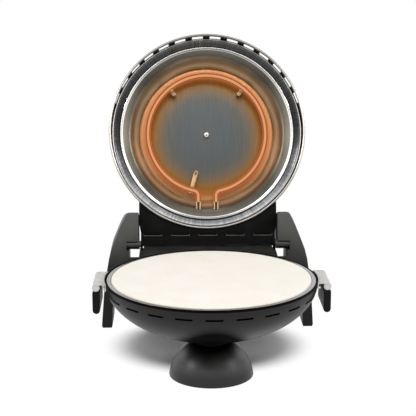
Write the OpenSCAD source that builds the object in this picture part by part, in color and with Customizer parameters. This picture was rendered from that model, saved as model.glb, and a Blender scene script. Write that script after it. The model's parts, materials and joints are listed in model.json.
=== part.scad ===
// Electric pizza maker with a hinged heating lid over a round stone, shown with its lid open.
// The origin is on the floor under the middle of the bowl. +Z is up and the front faces -Y.

/* [Baking stone] */
// Diameter of the round stone
stone_d = 310; // [290:1:325]
// Height of the stone's face above the bowl's rim
stone_proud = 1; // [0:0.5:1.5]
// Thickness of the stone
stone_t = 14; // [10:1:18]
// Gap left round the edge of the stone
stone_gap = 0.4; // [0.3:0.1:1]

/* [Bowl] */
// Height of the bowl's rim above the floor
rim_z = 157; // [150:1:175]
// Width of the steel ring between the stone and the rolled rim
tray_ring = 6.3; // [6:0.1:9]
// Depth of the bowl below its rim
bowl_depth = 91; // [84:1:96]
// Sheet thickness of the bowl
bowl_wall = 1.5; // [1:0.1:2]
// Radius of the rolled bead at the rim
rim_bead = 1.5; // [1:0.1:2]
// Number of vent slots round the bowl
bowl_slots = 23; // [12:1:24]
// Length of one vent slot
bowl_slot_l = 26; // [20:1:32]
// Height of one vent slot
bowl_slot_h = 3.5; // [2:0.5:5]
// Distance from the rim down to the slots
bowl_slot_drop = 16; // [13:1:24]

/* [Inner lining] */
// Thickness of the steel linings
liner_wall = 1; // [0.8:0.1:1.4]
// Depth of the lower reflector's dished part
liner_depth = 50; // [44:1:54]
// Thickness of the mineral wool
wool_t = 7; // [5:0.5:8]

/* [Heating elements] */
// Outside diameter of the heating tubes
tube_d = 9.5; // [6:0.5:10]
// Radius of the lower heating ring
low_ring_r = 96; // [85:1:104]
// Radius of the upper heating ring
up_ring_r = 103; // [92:1:106]
// Depth of the upper ring behind the lid's lip
up_ring_depth = 38; // [34:1:44]
// Half the distance between the two straight ends of a ring
leg_half = 15.5; // [12:0.5:18]

/* [Foot] */
// Radius of the round foot at the floor
foot_r = 66.5; // [60:0.5:75]
// Height of the whole cap that the foot is cut from
foot_h = 60; // [56:0.5:62]
// Wall of the foot
foot_wall = 3; // [2:0.5:4]
// Height of the flat top of the foot
foot_top = 54; // [50:0.5:55]
// Radius of the black collar between foot and bowl
collar_r = 27; // [22:0.5:27.5]

/* [Lid] */
// Outer radius of the lid at its lip
lid_r = 169.5; // [168:0.5:172]
// Angle of the open lid
lid_open = 107; // [95:1:110]
// Gap between the rim and the closed lid
lid_gap = 1.5; // [1.2:0.1:3]
// Height of the straight band above the lip
band_h = 24; // [22:0.5:28]
// Height of the dome above the band
dome_h = 66; // [62:1:76]
// Sheet thickness of the lid
lid_wall = 1.4; // [1:0.1:2]
// Radius of the rolled steel trim at the lip
trim_r = 2; // [1.2:0.1:2]
// Number of places for vent slots round the lid
lid_slots = 34; // [24:2:36]
// Angle of the front of the lid whose places are cut
lid_slot_arc = 140; // [100:5:260]
// Length of one lid slot
lid_slot_l = 19; // [12:0.5:21]
// Height of one lid slot
lid_slot_h = 20; // [12:0.5:22]
// Depth of the lining's flange behind the lip
flange_depth = 21; // [20.5:0.5:22]
// Depth of the flat ceiling behind the lip
ceiling_depth = 62; // [58:1:64]
// Radius of the flat ceiling
ceiling_r = 117; // [112:1:122]

/* [Hinge] */
// Distance from the bowl's middle back to the hinge axis
hinge_y = 195; // [190:1:205]
// Height of the hinge axis above the closed lid's lip
hinge_rise = 1; // [0:0.5:3]
// Diameter of the hinge pins
pin_d = 8; // [6:0.5:9]
// Running clearance of the hinge, on the radius
pin_fit = 0.05; // [0.02:0.01:0.1]
// Half the width of the hinge box
box_half = 118; // [112:1:120]
// Height of the hinge box above its floor plate
box_h = 42; // [30:1:44]
// Sheet thickness of the hinge box
box_wall = 1.5; // [1:0.1:2]
// Number of louvres in the floor plate
louvres = 5; // [3:1:5]
// Length of one louvre
louvre_l = 31.5; // [20:0.5:36]

/* [Arms] */
// Height of the arms
arm_h = 214.5; // [208:0.5:235]
// Gap between the hinge box and each arm
arm_gap = 1; // [0.5:0.1:3]
// Thickness of the rubber pads under the arms
leg_pad_t = 3; // [2:0.5:6]

/* [Rear housing] */
// Half the width of the rear housing
rear_half = 116; // [113:0.5:118]
// Height of the housing's floor plate above the floor
rear_z = 62; // [56:1:70]
// Distance from the bowl's middle back to the rear cover
rear_y = 245; // [240:1:252]
// Wall of the housing
rear_wall = 2; // [1.5:0.1:3]
// Height of the rubber stops under the open lid
stop_h = 4; // [3:0.5:6]
// Diameter of the thermostat knob
knob_d = 34; // [26:1:42]

/* [Side handles] */
// Length of a side handle along the rim
grip_l = 70; // [60:1:90]
// Height of the hanging grip
grip_h = 35; // [30:1:44]
// Thickness of the grip
grip_t = 11.4; // [10:0.2:13]
// Diameter of the pin that a grip hangs on
grip_pin_d = 4; // [3:0.5:4.5]

/* [Lid handle] */
// Length of the bar on the lid
bar_l = 130; // [100:1:160]
// Diameter of the bar
bar_d = 14; // [12:0.5:18]
// Clear height under the bar
bar_clear = 26; // [22:1:34]

/* [Hidden] */
$fn = 64;

black = [0.10, 0.10, 0.10];
grey_black = [0.20, 0.20, 0.19];
steel = [0.72, 0.71, 0.69];
dull_steel = [0.50, 0.49, 0.47];
cream = [0.96, 0.94, 0.88];
glow = [0.93, 0.60, 0.35];
rubber = [0.07, 0.07, 0.07];
wool = [0.85, 0.82, 0.70];
brass = [0.75, 0.60, 0.30];

seat = 0.3;              // clearance between curved faces that don't touch
steps = 20;              // straight steps in a curved section
big = 600;               // longer than anything that it cuts

function arc(cx, cy, rx, ry, a0, a1, n) =
    [for (i = [0:n]) let (a = a0 + (a1 - a0) * i / n) [cx + rx * cos(a), cy + ry * sin(a)]];

// Bowl and what stacks on its ledge
stone_r = stone_d / 2;
stone_z = rim_z + stone_proud - stone_t;
tray_in_r = stone_r + stone_gap;
ring_out_r = tray_in_r + tray_ring;
bowl_r = ring_out_r + seat + 2 * rim_bead;
bowl_in_r = bowl_r - bowl_wall;
ring_drop = 0.5;
ledge_z = rim_z - 2 * liner_wall - ring_drop;
liner_r = tray_in_r + 2 * liner_wall + seat;
ledge_in_r = liner_r + seat;
dish_z = stone_z - 2 * liner_wall;
function bowl_r_at(z) = bowl_r * sqrt(1 - pow((rim_z - z) / bowl_depth, 2));
function bowl_in_r_at(z) = bowl_in_r * sqrt(1 - pow((rim_z - z) / (bowl_depth - bowl_wall), 2));
function dish_in_z(r) =
    dish_z - (liner_depth - liner_wall) * sqrt(1 - pow(r / (liner_r - liner_wall), 2));
function dish_out_z(r) = dish_z - liner_depth * sqrt(1 - pow(r / liner_r, 2));
function dish_r_at(z) = liner_r * sqrt(1 - pow((dish_z - z) / liner_depth, 2));

// Heating tubes
tube_r = tube_d / 2;
low_z = stone_z - 20;
bend_r = 9;
bush_r = tube_r + 1.2;
clip_angles = [30, 150, 270];
low_strap = 14;
up_clips = [[-51, 12], [-129, 12], [105.5, 32]];
wool_hole_y = 45;

// Foot
foot_ball_r = (foot_r * foot_r + foot_h * foot_h) / (2 * foot_h);
foot_ball_z = foot_h - foot_ball_r;
pad_t = 3;

// Lid, in its closed place
lid_z = rim_z + lid_gap;
hinge_z = lid_z + hinge_rise;
shell_r = lid_r - trim_r + lid_wall / 2;   // the rolled trim is centred on the sheet
shell_in_r = shell_r - lid_wall;
flange_r = shell_in_r - 2.5;
bead_ring_r = flange_r - 14;
bead_ring_depth = flange_depth + 7;
bead_ring_t = 1.5;
function dome_z_at(r) = lid_z + band_h + dome_h * sqrt(1 - pow(r / shell_r, 2));

// Hinge
pin_r = pin_d / 2;
bush_out_r = pin_r + 2;
ear_r = bush_out_r + 2.5;
ear_t = 3.5;
ear_x = box_half - 3 - ear_t;
box_floor = hinge_z + 3;
back_gap = 2;              // from the hinge axis to the box's back face
box_back = hinge_y + back_gap;
arm_in = box_half + arm_gap;
spacer_r = 5.5;
notch_x = arm_in + 20.5;
ear_skin = 0.8;            // closes the inner end of the bush's seat
pin_in = ear_x + ear_skin + seat;
pin_out = notch_x + 13;

// Rear housing
rear_top = hinge_z - ear_r - 1.5;
rear_front = 128;
rear_in_r = 2.3 + seat;

// Side handles
pin_x = bowl_r + 11.5;
grip_pin_r = grip_pin_d / 2;
roll_t = 1.6;
roll_in_r = grip_pin_r + 2.1;
roll_r = roll_in_r + roll_t;
tab_z = lid_z - 0.7;
pin_z = tab_z - roll_r;
hem_r = bowl_r + seat;
knuckle_r = roll_in_r - 0.4;

// ---------- helpers ----------

// Moves what is drawn in the closed lid's place to the open lid's place
module open_lid() {
    translate([0, hinge_y, hinge_z])
    rotate([-lid_open, 0, 0])
    translate([0, -hinge_y, -hinge_z])
    children();
}

module spin(points) rotate_extrude($fn = 180) polygon(points);

module along_x(x0, x1, y, z, r) translate([x0, y, z]) rotate([0, 90, 0]) cylinder(h = x1 - x0, r = r);

module along_y(x, y0, y1, z, r) translate([x, y0, z]) rotate([-90, 0, 0]) cylinder(h = y1 - y0, r = r);

module mirrored_x() {
    children();
    mirror([1, 0, 0]) children();
}

// Solid half bowl, grown outwards by gap
module bowl_solid(gap) {
    spin(concat([[0, rim_z + 1]],
                arc(0, rim_z, bowl_r + gap, bowl_depth + gap, -90, 0, steps),
                [[bowl_r + gap, rim_z + 1]]));
}

// Solid lid with its band, grown outwards by gap
module lid_solid(gap) {
    spin(concat([[0, lid_z - 1], [lid_r + gap, lid_z - 1]],
                arc(0, lid_z + band_h, lid_r + gap, dome_h + gap, 0, 90, steps)));
}

// Heating tube in the plane z = 0: an open ring whose two ends bend back to straight legs.
// A slightly larger ball covers each joint between a curved and a straight stretch.
module heating_tube(ring_r, leg_end) {
    bend_x = leg_half + bend_r;
    bend_y = sqrt(pow(ring_r + bend_r, 2) - pow(bend_x, 2));
    ring_a = atan2(bend_y, bend_x);
    ball_r = tube_r + 0.2;
    rotate([0, 0, 180 - ring_a + 0.2])
        rotate_extrude(angle = 180 + 2 * ring_a - 0.4, $fn = 180) translate([ring_r, 0]) circle(r = tube_r);
    mirrored_x() {
        rotate([0, 0, ring_a]) translate([ring_r, 0, 0]) sphere(r = ball_r);
        translate([bend_x, bend_y, 0]) rotate([0, 0, 182])
            rotate_extrude(angle = ring_a - 4, $fn = 90) translate([bend_r, 0]) circle(r = tube_r);
        translate([leg_half, bend_y, 0]) sphere(r = ball_r);
        along_y(leg_half, bend_y + 0.4, leg_end, 0, tube_r);
    }
}

// Cradle under a heating tube, held by a post that stands strap_l inwards and post_h towards -Z
module tube_clip(strap_l, post_h) difference() {
    union() {
        difference() {
            rotate([90, 0, 0]) cylinder(h = 7, r = tube_r + 1.5, center = true);
            translate([-10, -10, 1]) cube([20, 20, 20]);
        }
        translate([-strap_l, -3.5, -tube_r - 1.5]) cube([strap_l, 7, 1.3]);
        translate([-strap_l, 0, -post_h]) cylinder(h = post_h - tube_r - 1, r = 3.5);
    }
    rotate([90, 0, 0]) cylinder(h = 9, r = tube_r + 0.2, center = true);
    translate([-strap_l, 0, -tube_r - 7]) cylinder(h = 9, r = 1.55);
}

module screw(head_r, head_h, shank_r, shank_l) {
    cylinder(h = head_h, r = head_r);
    translate([0, 0, -shank_l]) cylinder(h = shank_l + 0.5, r = shank_r);
}

// ---------- bowl ----------

module bowl_shell() color(grey_black) difference() {
    spin(concat(
        arc(0, rim_z, bowl_r, bowl_depth, -90, -1, steps),
        arc(bowl_r - rim_bead, rim_z - rim_bead, rim_bead, rim_bead, 0, 180, 8),
        [[bowl_r - 2 * rim_bead, ledge_z], [ledge_in_r, ledge_z], [ledge_in_r, ledge_z - 1.2]],
        arc(0, rim_z, bowl_in_r, bowl_depth - bowl_wall, -4, -90, steps)));
    for (i = [0:bowl_slots - 1])
        rotate([0, 0, 360 * i / bowl_slots])
            translate([0, -bowl_r, rim_z - bowl_slot_drop])
                cube([bowl_slot_l, 40, bowl_slot_h], center = true);
    cylinder(h = 100, r = 4.3);
    mirrored_x() along_y(leg_half, 100, 200, low_z, bush_r + 3);
    mirrored_x() rivet_holes();
}

module stone_tray() color(steel) spin([
    [tray_in_r - 9, stone_z - liner_wall], [tray_in_r + liner_wall, stone_z - liner_wall],
    [tray_in_r + liner_wall, ledge_z + liner_wall], [ring_out_r, ledge_z + liner_wall],
    [ring_out_r, ledge_z + 2 * liner_wall], [tray_in_r, ledge_z + 2 * liner_wall],
    [tray_in_r, stone_z], [tray_in_r - 9, stone_z]]);

module baking_stone() color(cream) spin([
    [0, stone_z], [stone_r - 1, stone_z], [stone_r, stone_z + 1],
    [stone_r, stone_z + stone_t - 1.5], [stone_r - 1.5, stone_z + stone_t], [0, stone_z + stone_t]]);

module base_liner() color(dull_steel) difference() {
    spin(concat(
        [[liner_r, ledge_z], [ring_out_r, ledge_z], [ring_out_r, ledge_z + liner_wall],
         [liner_r - liner_wall, ledge_z + liner_wall]],
        arc(0, dish_z, liner_r - liner_wall, liner_depth - liner_wall, 0, -90, steps),
        arc(0, dish_z, liner_r, liner_depth, -90, 0, steps)));
    mirrored_x() along_y(leg_half, 90, 200, low_z, bush_r + 0.1);
}

module base_insulation() color(wool) difference() {
    spin(concat(
        arc(0, dish_z - seat, liner_r, liner_depth, -90, -42, 10),
        arc(0, dish_z - seat - wool_t, liner_r, liner_depth, -42, -90, 10)));
    translate([0, wool_hole_y, dish_z - liner_depth - 20]) cylinder(h = 60, r = 14);
}

module lower_element() color(glow) translate([0, 0, low_z]) heating_tube(low_ring_r, bowl_r + 2);

module lower_element_clips() color(steel)
    for (a = clip_angles)
        rotate([0, 0, a]) translate([low_ring_r, 0, low_z])
            tube_clip(low_strap, low_z - dish_in_z(low_ring_r - low_strap + 3.5) - 0.1);

module lower_element_bushings() color(steel) translate([0, 0, low_z]) mirrored_x() {
    end_y = bowl_r_at(low_z) + 8;
    difference() {
        union() {
            along_y(leg_half, dish_r_at(low_z) - 14, end_y, 0, bush_r - 0.1);
            along_y(leg_half, end_y - 3, end_y, 0, bush_r + 1.6);
        }
        along_y(leg_half, 90, 200, 0, tube_r + 0.05);
    }
}

module limit_thermostat() color(dull_steel) translate([0, wool_hole_y, 0]) {
    top_z = dish_out_z(wool_hole_y - 9) - seat;
    translate([0, 0, top_z - 8]) cylinder(h = 8, r = 9);
    translate([0, 0, top_z - 13]) cylinder(h = 5, r = 5);
}

// ---------- foot ----------

module foot_dome() color(grey_black) difference() {
    intersection() {
        translate([0, 0, foot_ball_z]) sphere(r = foot_ball_r, $fn = 180);
        translate([-big / 2, -big / 2, 0.4]) cube([big, big, foot_top - 0.4]);
    }
    intersection() {
        translate([0, 0, foot_ball_z]) sphere(r = foot_ball_r - foot_wall, $fn = 180);
        translate([-big / 2, -big / 2, -1]) cube([big, big, foot_top - foot_wall + 1]);
    }
    cylinder(h = big, r = 4.3);
}

module foot_pad() color(rubber) cylinder(h = pad_t, r = foot_r - foot_wall - 1, $fn = 180);

module neck_collar() color(black) difference() {
    translate([0, 0, foot_top]) cylinder(h = 20, r = collar_r, $fn = 120);
    bowl_solid(0.1);
    cylinder(h = big, r = 4.3);
}

module foot_bolt() color(steel) {
    bowl_floor = rim_z - bowl_depth + bowl_wall;
    translate([0, 0, foot_top - foot_wall - 5]) cylinder(h = 5, r = 7.5, $fn = 6);
    translate([0, 0, foot_top - foot_wall - 1]) cylinder(h = bowl_floor + 8 - foot_top + foot_wall + 1, r = 4);
    translate([0, 0, bowl_floor + 0.6]) cylinder(h = 6, r = 7.5, $fn = 6);
}

// ---------- rear housing ----------

stop_d = box_back + seat + stop_h - hinge_y;
function stop_plane_z(y) = hinge_z - stop_d * sin(lid_open)
    + (y - hinge_y - stop_d * cos(lid_open)) / tan(lid_open);

// Everything above the plane that lies d behind the hinge axis on the open lid
module above_plane(d)
    open_lid() translate([-big / 2, hinge_y + d - big, hinge_z - big / 2]) cube([big, big, big]);

// Everything above the plane that carries the rubber stops, lowered by w
module above_stops(w) above_plane(stop_d + w);

// Everything above a plane just under the open hinge box
module above_box() above_plane(box_back - hinge_y + 0.8);

ledge_half = ear_x - 1.5;
ledge_top = hinge_z - 4.5;

cover_top = stop_plane_z(rear_y) - 0.5;
thermo_x = 60;
thermo_z = rear_z + 38;
inlet_x = -62;
inlet_z = rear_z + 32;
lamp_z = rear_z + 52;

module cover_lugs(hole_r) for (x = [-1, 1], z = [rear_z + rear_wall, cover_top - 13])
    translate([x * (rear_half - rear_wall - 5), rear_y - 8, z]) difference() {
        translate([-5, 0, 0]) cube([10, 8, 10]);
        along_y(0, -1, 9, 5, hole_r);
    }

module rear_housing() color(black) difference() {
    union() {
        difference() {
            translate([-ledge_half, rear_front, rear_top - rear_wall])
                cube([2 * ledge_half, hinge_y + 8 - rear_front, ledge_top - rear_top + rear_wall]);
            bowl_solid(seat);
            above_box();
        }
        difference() {
            translate([-rear_half, rear_front, rear_z])
                cube([2 * rear_half, rear_y - rear_front, rear_top - rear_z]);
            bowl_solid(seat);
            difference() {
                translate([-rear_half + rear_wall, rear_front + rear_wall, rear_z + rear_wall])
                    cube([2 * (rear_half - rear_wall), rear_y - rear_front, rear_top - rear_z - 2 * rear_wall]);
                bowl_solid(rear_in_r);
                above_stops(rear_wall);
            }
            above_stops(0);
        }
        cover_lugs(1.6);
    }
    mirrored_x() along_y(leg_half, 100, 180, low_z, bush_r + 3);
    mirrored_x() for (y = arm_bolt_ys) along_x(rear_half - 6, rear_half + 1, y, arm_bolt_z, 2.6);
}

module rear_cover() color(black) difference() {
    translate([-rear_half, rear_y, rear_z]) cube([2 * rear_half, 2, cover_top - rear_z]);
    along_y(thermo_x, rear_y - 1, rear_y + 3, thermo_z, 5.1);
    along_y(0, rear_y - 1, rear_y + 3, lamp_z, 4.1);
    translate([inlet_x - 14.2, rear_y - 1, inlet_z - 10.2]) cube([28.4, 4, 20.4]);
    for (x = [-1, 1], z = [rear_z + rear_wall + 5, cover_top - 8])
        along_y(x * (rear_half - rear_wall - 5), rear_y - 1, rear_y + 3, z, 1.9);
    for (i = [-3:3]) translate([i * 12 - 2, rear_y - 1, rear_z + 10]) cube([4, 4, 22]);
}

module rear_cover_screws() color(steel)
    for (x = [-1, 1], z = [rear_z + rear_wall + 5, cover_top - 8])
        translate([x * (rear_half - rear_wall - 5), rear_y + 2, z]) rotate([-90, 0, 0]) screw(3.4, 1.8, 1.5, 9);

module thermostat() color(dull_steel) difference() {
    union() {
        translate([thermo_x - 16, rear_y - 24, thermo_z - 16]) cube([32, 24, 32]);
        along_y(thermo_x, rear_y - 1, rear_y + 3.5, thermo_z, 5);
    }
    along_y(thermo_x, rear_y - 14, rear_y + 5, thermo_z, 3 + pin_fit);
}

module thermostat_knob() color(black) {
    knob_r = knob_d / 2;
    difference() {
        union() {
            along_y(thermo_x, rear_y + 4, rear_y + 8, thermo_z, knob_r);
            along_y(thermo_x, rear_y + 8, rear_y + 20, thermo_z, knob_r - 3);
            translate([thermo_x - 1, rear_y + 8, thermo_z + knob_r - 7]) cube([2, 12.8, 5]);
        }
        for (i = [1:11]) rotate_about(thermo_x, thermo_z, 30 * i)
            along_y(thermo_x, rear_y + 9, rear_y + 21, thermo_z + knob_r - 1.8, 2.4);
    }
    along_y(thermo_x, rear_y - 13, rear_y + 4.5, thermo_z, 3);
}

// Turns what is drawn about a line along Y through x, z
module rotate_about(x, z, a) translate([x, 0, z]) rotate([0, a, 0]) translate([-x, 0, -z]) children();

module terminal_block() color(cream) difference() {
    translate([-30, rear_y - 34, rear_z + rear_wall]) cube([60, 18, 16]);
    for (i = [-2:2]) translate([i * 11, rear_y - 25, rear_z + rear_wall + 4]) cylinder(h = 20, r = 3);
}

module mains_inlet() color(black) {
    difference() {
        union() {
            translate([inlet_x - 14, rear_y - 18, inlet_z - 10]) cube([28, 20, 20]);
            translate([inlet_x - 19, rear_y + 2, inlet_z - 13]) cube([38, 2.5, 26]);
        }
        translate([inlet_x - 12, rear_y - 14, inlet_z - 8]) cube([24, 20, 16]);
    }
    for (i = [-1:1]) translate([inlet_x + i * 7 - 1, rear_y - 14.5, inlet_z - 2 + (i == 0 ? 2 : -2)])
        cube([2, 12, 4]);
}

module pilot_lamp() color([0.8, 0.2, 0.1]) {
    along_y(0, rear_y - 16, rear_y + 2, lamp_z, 4);
    along_y(0, rear_y + 2, rear_y + 4.5, lamp_z, 6);
}

// ---------- arms ----------

arm_front = hinge_y - 10;
arm_bolt_z = 118;
arm_bolt_ys = [hinge_y + 14, hinge_y + 36];
window_z = 139.5;
window_h = 14;
window_w = 17;
window_tilt = 15.5;
pad_top = 134;
foot_front = hinge_y + 27;
foot_back = hinge_y + 97;
leg_in = arm_in + 49;
leg_out = arm_in + 67.5;

module arm_face() polygon(concat(
    [[arm_in, arm_h]],
    arc(arm_in + 13, arm_h - 9, 9, 9, 90, 30, 4),
    [[arm_in + 31, arm_h - 24], [arm_in + 39.7, arm_h - 45.5], [arm_in + 46.3, arm_h - 62.5],
     [arm_in + 50.5, arm_h - 78.5], [arm_in + 54.5, arm_h - 100.5], [arm_in + 61, arm_h - 142.5],
     [leg_out, leg_pad_t], [leg_in, leg_pad_t], [leg_in - 3, 55], [leg_in - 18, 92],
     [rear_half, 103], [rear_half, pad_top], [arm_in, pad_top]]));

module arm_side() polygon([
    [arm_front + 12, arm_h + 0.5], [arm_front, 150], [arm_front, pad_top], [foot_front, leg_pad_t],
    [foot_front, 0], [foot_back, 0], [foot_back, leg_pad_t], [hinge_y + 67, 150], [hinge_y + 45, arm_h - 14]]);

module right_arm() color(grey_black) difference() {
    intersection() {
        translate([0, foot_back + 1, 0]) rotate([90, 0, 0]) linear_extrude(foot_back) arm_face();
        rotate([90, 0, 90]) linear_extrude(big) arm_side();
    }
    translate([arm_in - 1, arm_front - 1, hinge_z - 10.5])
        cube([notch_x - arm_in + 1, 22, spacer_r + 11.5]);
    translate([arm_in, arm_front, window_z]) rotate([-window_tilt, 0, 0])
        translate([0, -20, 0]) cube([window_w, 140, window_h]);
    along_x(notch_x - 1, pin_out + 0.5, hinge_y, hinge_z, pin_r + 0.02);
    for (y = arm_bolt_ys) along_x(rear_half - 1, rear_half + 13, y, arm_bolt_z, 2.55);
}

module left_arm() mirror([1, 0, 0]) right_arm();

module right_leg_pad() color(rubber)
    translate([leg_in + 1, foot_front + 1, 0]) cube([leg_out - leg_in - 2, foot_back - foot_front - 2, leg_pad_t]);

module left_leg_pad() mirror([1, 0, 0]) right_leg_pad();

module arm_bolts() color(steel) mirrored_x() for (y = arm_bolt_ys) {
    along_x(rear_half - rear_wall - 4, rear_half - rear_wall, y, arm_bolt_z, 4.5);
    along_x(rear_half - rear_wall - 0.5, rear_half + 12.5, y, arm_bolt_z, 2.5);
}

module right_hinge_pin() color(steel) along_x(pin_in, pin_out, hinge_y, hinge_z, pin_r);

module left_hinge_pin() mirror([1, 0, 0]) right_hinge_pin();

module hinge_spacers() color(black) mirrored_x() difference() {
    along_x(ear_x + ear_t + seat, notch_x - 0.1, hinge_y, hinge_z, spacer_r);
    along_x(ear_x, notch_x + 1, hinge_y, hinge_z, pin_r + 0.02);
}

module lid_stops() color(rubber) open_lid() mirrored_x()
    along_y(80, box_back + seat, box_back + seat + stop_h, box_floor + box_h - 12, 6);

// ---------- side handles ----------

knuckle_y = grip_l / 2 - 17;
knuckle_w = 9;
rivet_z = rim_z - 8;
rivet_y = grip_l / 2 - 5;

module rivet_holes() for (y = [-rivet_y, rivet_y]) along_x(bowl_r - 25, bowl_r + 8, y, rivet_z, 1.7);

module right_handle_bracket() color(steel) difference() {
    union() {
        intersection() {
            difference() {
                translate([0, 0, rivet_z - 3]) cylinder(h = tab_z - rivet_z + 3, r = hem_r + roll_t, $fn = 180);
                cylinder(h = big, r = hem_r, $fn = 180);
            }
            translate([0, -grip_l / 2, 0]) cube([big, grip_l, big]);
        }
        difference() {
            translate([hem_r - 12, -grip_l / 2, tab_z - roll_t]) cube([pin_x - hem_r + 12, grip_l, roll_t]);
            cylinder(h = big, r = hem_r + 0.8, $fn = 180);
        }
        intersection() {
            difference() {
                along_y(pin_x, -grip_l / 2, grip_l / 2, pin_z, roll_r);
                along_y(pin_x, -grip_l, grip_l, pin_z, roll_in_r);
            }
            translate([pin_x, -grip_l, pin_z]) cube([20, 2 * grip_l, 20]);
        }
        for (y = [-grip_l / 2, grip_l / 2 - 2.5]) along_y(pin_x, y, y + 2.5, pin_z, roll_r);
    }
    along_y(pin_x, -grip_l, grip_l, pin_z, grip_pin_r + 0.02);
    for (y = [-knuckle_y, knuckle_y]) translate([pin_x + 1, y - knuckle_w / 2 - 0.5, pin_z - 1])
        cube([20, knuckle_w + 1, 4.4]);
    rivet_holes();
}

module left_handle_bracket() mirror([1, 0, 0]) right_handle_bracket();

module right_handle_pin() color(steel) {
    along_y(pin_x, -grip_l / 2 - 1.2, grip_l / 2 + 1.2, pin_z, grip_pin_r);
    for (y = [-grip_l / 2 - 1.2, grip_l / 2]) along_y(pin_x, y, y + 1.2, pin_z, grip_pin_r + 1);
}

module left_handle_pin() mirror([1, 0, 0]) right_handle_pin();

module handle_rivets() color(steel) mirrored_x() for (y = [-rivet_y, rivet_y]) {
    hem_out_x = sqrt(pow(hem_r + roll_t, 2) - pow(rivet_y - 2.2, 2));
    wall_in_x = sqrt(pow(bowl_in_r_at(rivet_z - 3), 2) - pow(rivet_y + 2.6, 2));
    along_x(wall_in_x - 1.5, hem_out_x + 1.3, y, rivet_z, 1.6);
    along_x(wall_in_x - 1.5, wall_in_x - 0.2, y, rivet_z, 2.6);
    along_x(hem_out_x + 0.1, hem_out_x + 1.3, y, rivet_z, 2.2);
}

module right_handle_grip() color(black) difference() {
    union() {
        grip_top = pin_z - roll_r - 0.6;
        half_t = grip_t / 2;
        translate([0, grip_l / 2, 0]) rotate([90, 0, 0]) linear_extrude(grip_l) polygon(concat(
            arc(pin_x + half_t - 2, grip_top - 2, 2, 2, 0, 90, 4),
            arc(pin_x - half_t + 2, grip_top - 2, 2, 2, 90, 180, 4),
            arc(pin_x, grip_top - grip_h + half_t, half_t, half_t, 180, 360, 12)));
        for (y = [-knuckle_y, knuckle_y]) {
            along_y(pin_x, y - knuckle_w / 2, y + knuckle_w / 2, pin_z, knuckle_r);
            translate([pin_x - 2.5, y - knuckle_w / 2, grip_top - 1]) cube([5, knuckle_w, pin_z - grip_top]);
        }
    }
    along_y(pin_x, -grip_l, grip_l, pin_z, grip_pin_r + pin_fit);
}

module left_handle_grip() mirror([1, 0, 0]) right_handle_grip();

// ---------- lid ----------

wall_knee_r = ceiling_r + 16;             // where the shelf inside the bead turns into a steep wall
wall_knee_depth = up_ring_depth - bush_r;
lid_path = [
    [flange_r, flange_depth], [flange_r - 3, flange_depth], [bead_ring_r + 1.8, bead_ring_depth],
    [bead_ring_r + 1, bead_ring_depth - bead_ring_t], [bead_ring_r - 1, bead_ring_depth - bead_ring_t],
    [bead_ring_r - 2, bead_ring_depth + 1], [wall_knee_r, wall_knee_depth], [ceiling_r + 6, ceiling_depth - 5],
    [ceiling_r + 2, ceiling_depth - 0.6], [ceiling_r, ceiling_depth], [0, ceiling_depth]];
element_z = lid_z + up_ring_depth;
lid_slot_z = lid_z + flange_depth + 9 - lid_slot_h;
box_angle = asin(box_half / lid_r) + 3;   // the slots stop beside the hinge box

module lid_shell() color(black) open_lid() difference() {
    spin(concat(
        [[shell_in_r, lid_z + 2 * trim_r + 0.05], [shell_r, lid_z + 2 * trim_r + 0.05]],
        arc(0, lid_z + band_h, shell_r, dome_h, 0, 90, steps),
        arc(0, lid_z + band_h, shell_in_r, dome_h - lid_wall, 90, 0, steps)));
    for (i = [0:lid_slots - 1]) let (a = 360 * (i + 0.5) / lid_slots)
        if (abs(a - 180) > max(box_angle, 180 - lid_slot_arc / 2))
            rotate([0, 0, a]) translate([-lid_slot_l / 2, -lid_r - 5, lid_slot_z])
                cube([lid_slot_l, 15, lid_slot_h]);
    translate([-leg_half - 9, 100, element_z - 9]) cube([2 * leg_half + 18, 100, 18]);
}

module lid_trim_ring() color(steel) open_lid()
    translate([0, 0, lid_z + trim_r]) rotate_extrude($fn = 180) translate([lid_r - trim_r, 0]) circle(r = trim_r);

module lid_liner() color(dull_steel) open_lid() translate([0, 0, lid_z]) difference() {
    spin(concat(lid_path,
        [for (i = [len(lid_path) - 1:-1:0]) [lid_path[i][0], lid_path[i][1] + liner_wall]]));
    cylinder(h = big, r = 2.8);
    mirrored_x() along_y(leg_half, 100, 200, up_ring_depth, bush_r + 0.1);
}

module lid_insulation() color(wool) open_lid() difference() {
    translate([0, 0, lid_z + ceiling_depth + liner_wall + seat]) cylinder(h = wool_t, r = ceiling_r - 13);
    cylinder(h = big, r = 4);
}

module upper_element() color(glow) open_lid() translate([0, 0, element_z]) heating_tube(up_ring_r, shell_r + 6);

module upper_element_bushings() color(steel) open_lid() translate([0, 0, element_z]) mirrored_x()
    difference() {
        union() {
            along_y(leg_half, wall_knee_r - 12, wall_knee_r + 9, 0, bush_r - 0.1);
            along_y(leg_half, wall_knee_r - 12, wall_knee_r - 9.5, 0, bush_r + 0.6);
        }
        along_y(leg_half, 90, 200, 0, tube_r + 0.05);
    }

module up_clip_places() for (c = up_clips)
    rotate([0, 0, c[0]]) translate([up_ring_r, 0, element_z]) mirror([0, 0, 1]) {
        $strap = c[1];
        children();
    }

module element_clips() color(steel) open_lid() up_clip_places() tube_clip($strap, ceiling_depth - up_ring_depth);

module element_clip_screws() color(steel) open_lid() up_clip_places()
    translate([-$strap, 0, -tube_r - 0.2]) screw(3, 2, 1.5, 6.5);

module centre_nut() color(steel) open_lid() translate([0, 0, lid_z]) {
    translate([0, 0, ceiling_depth - 1]) cylinder(h = 1, r = 5.5);
    translate([0, 0, ceiling_depth - 5.5]) cylinder(h = 4.7, r = 4.6, $fn = 6);
    translate([0, 0, ceiling_depth - 8]) cylinder(h = band_h + dome_h - lid_wall - ceiling_depth + 7.7, r = 2.5);
}

// ---------- hinge box ----------

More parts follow.
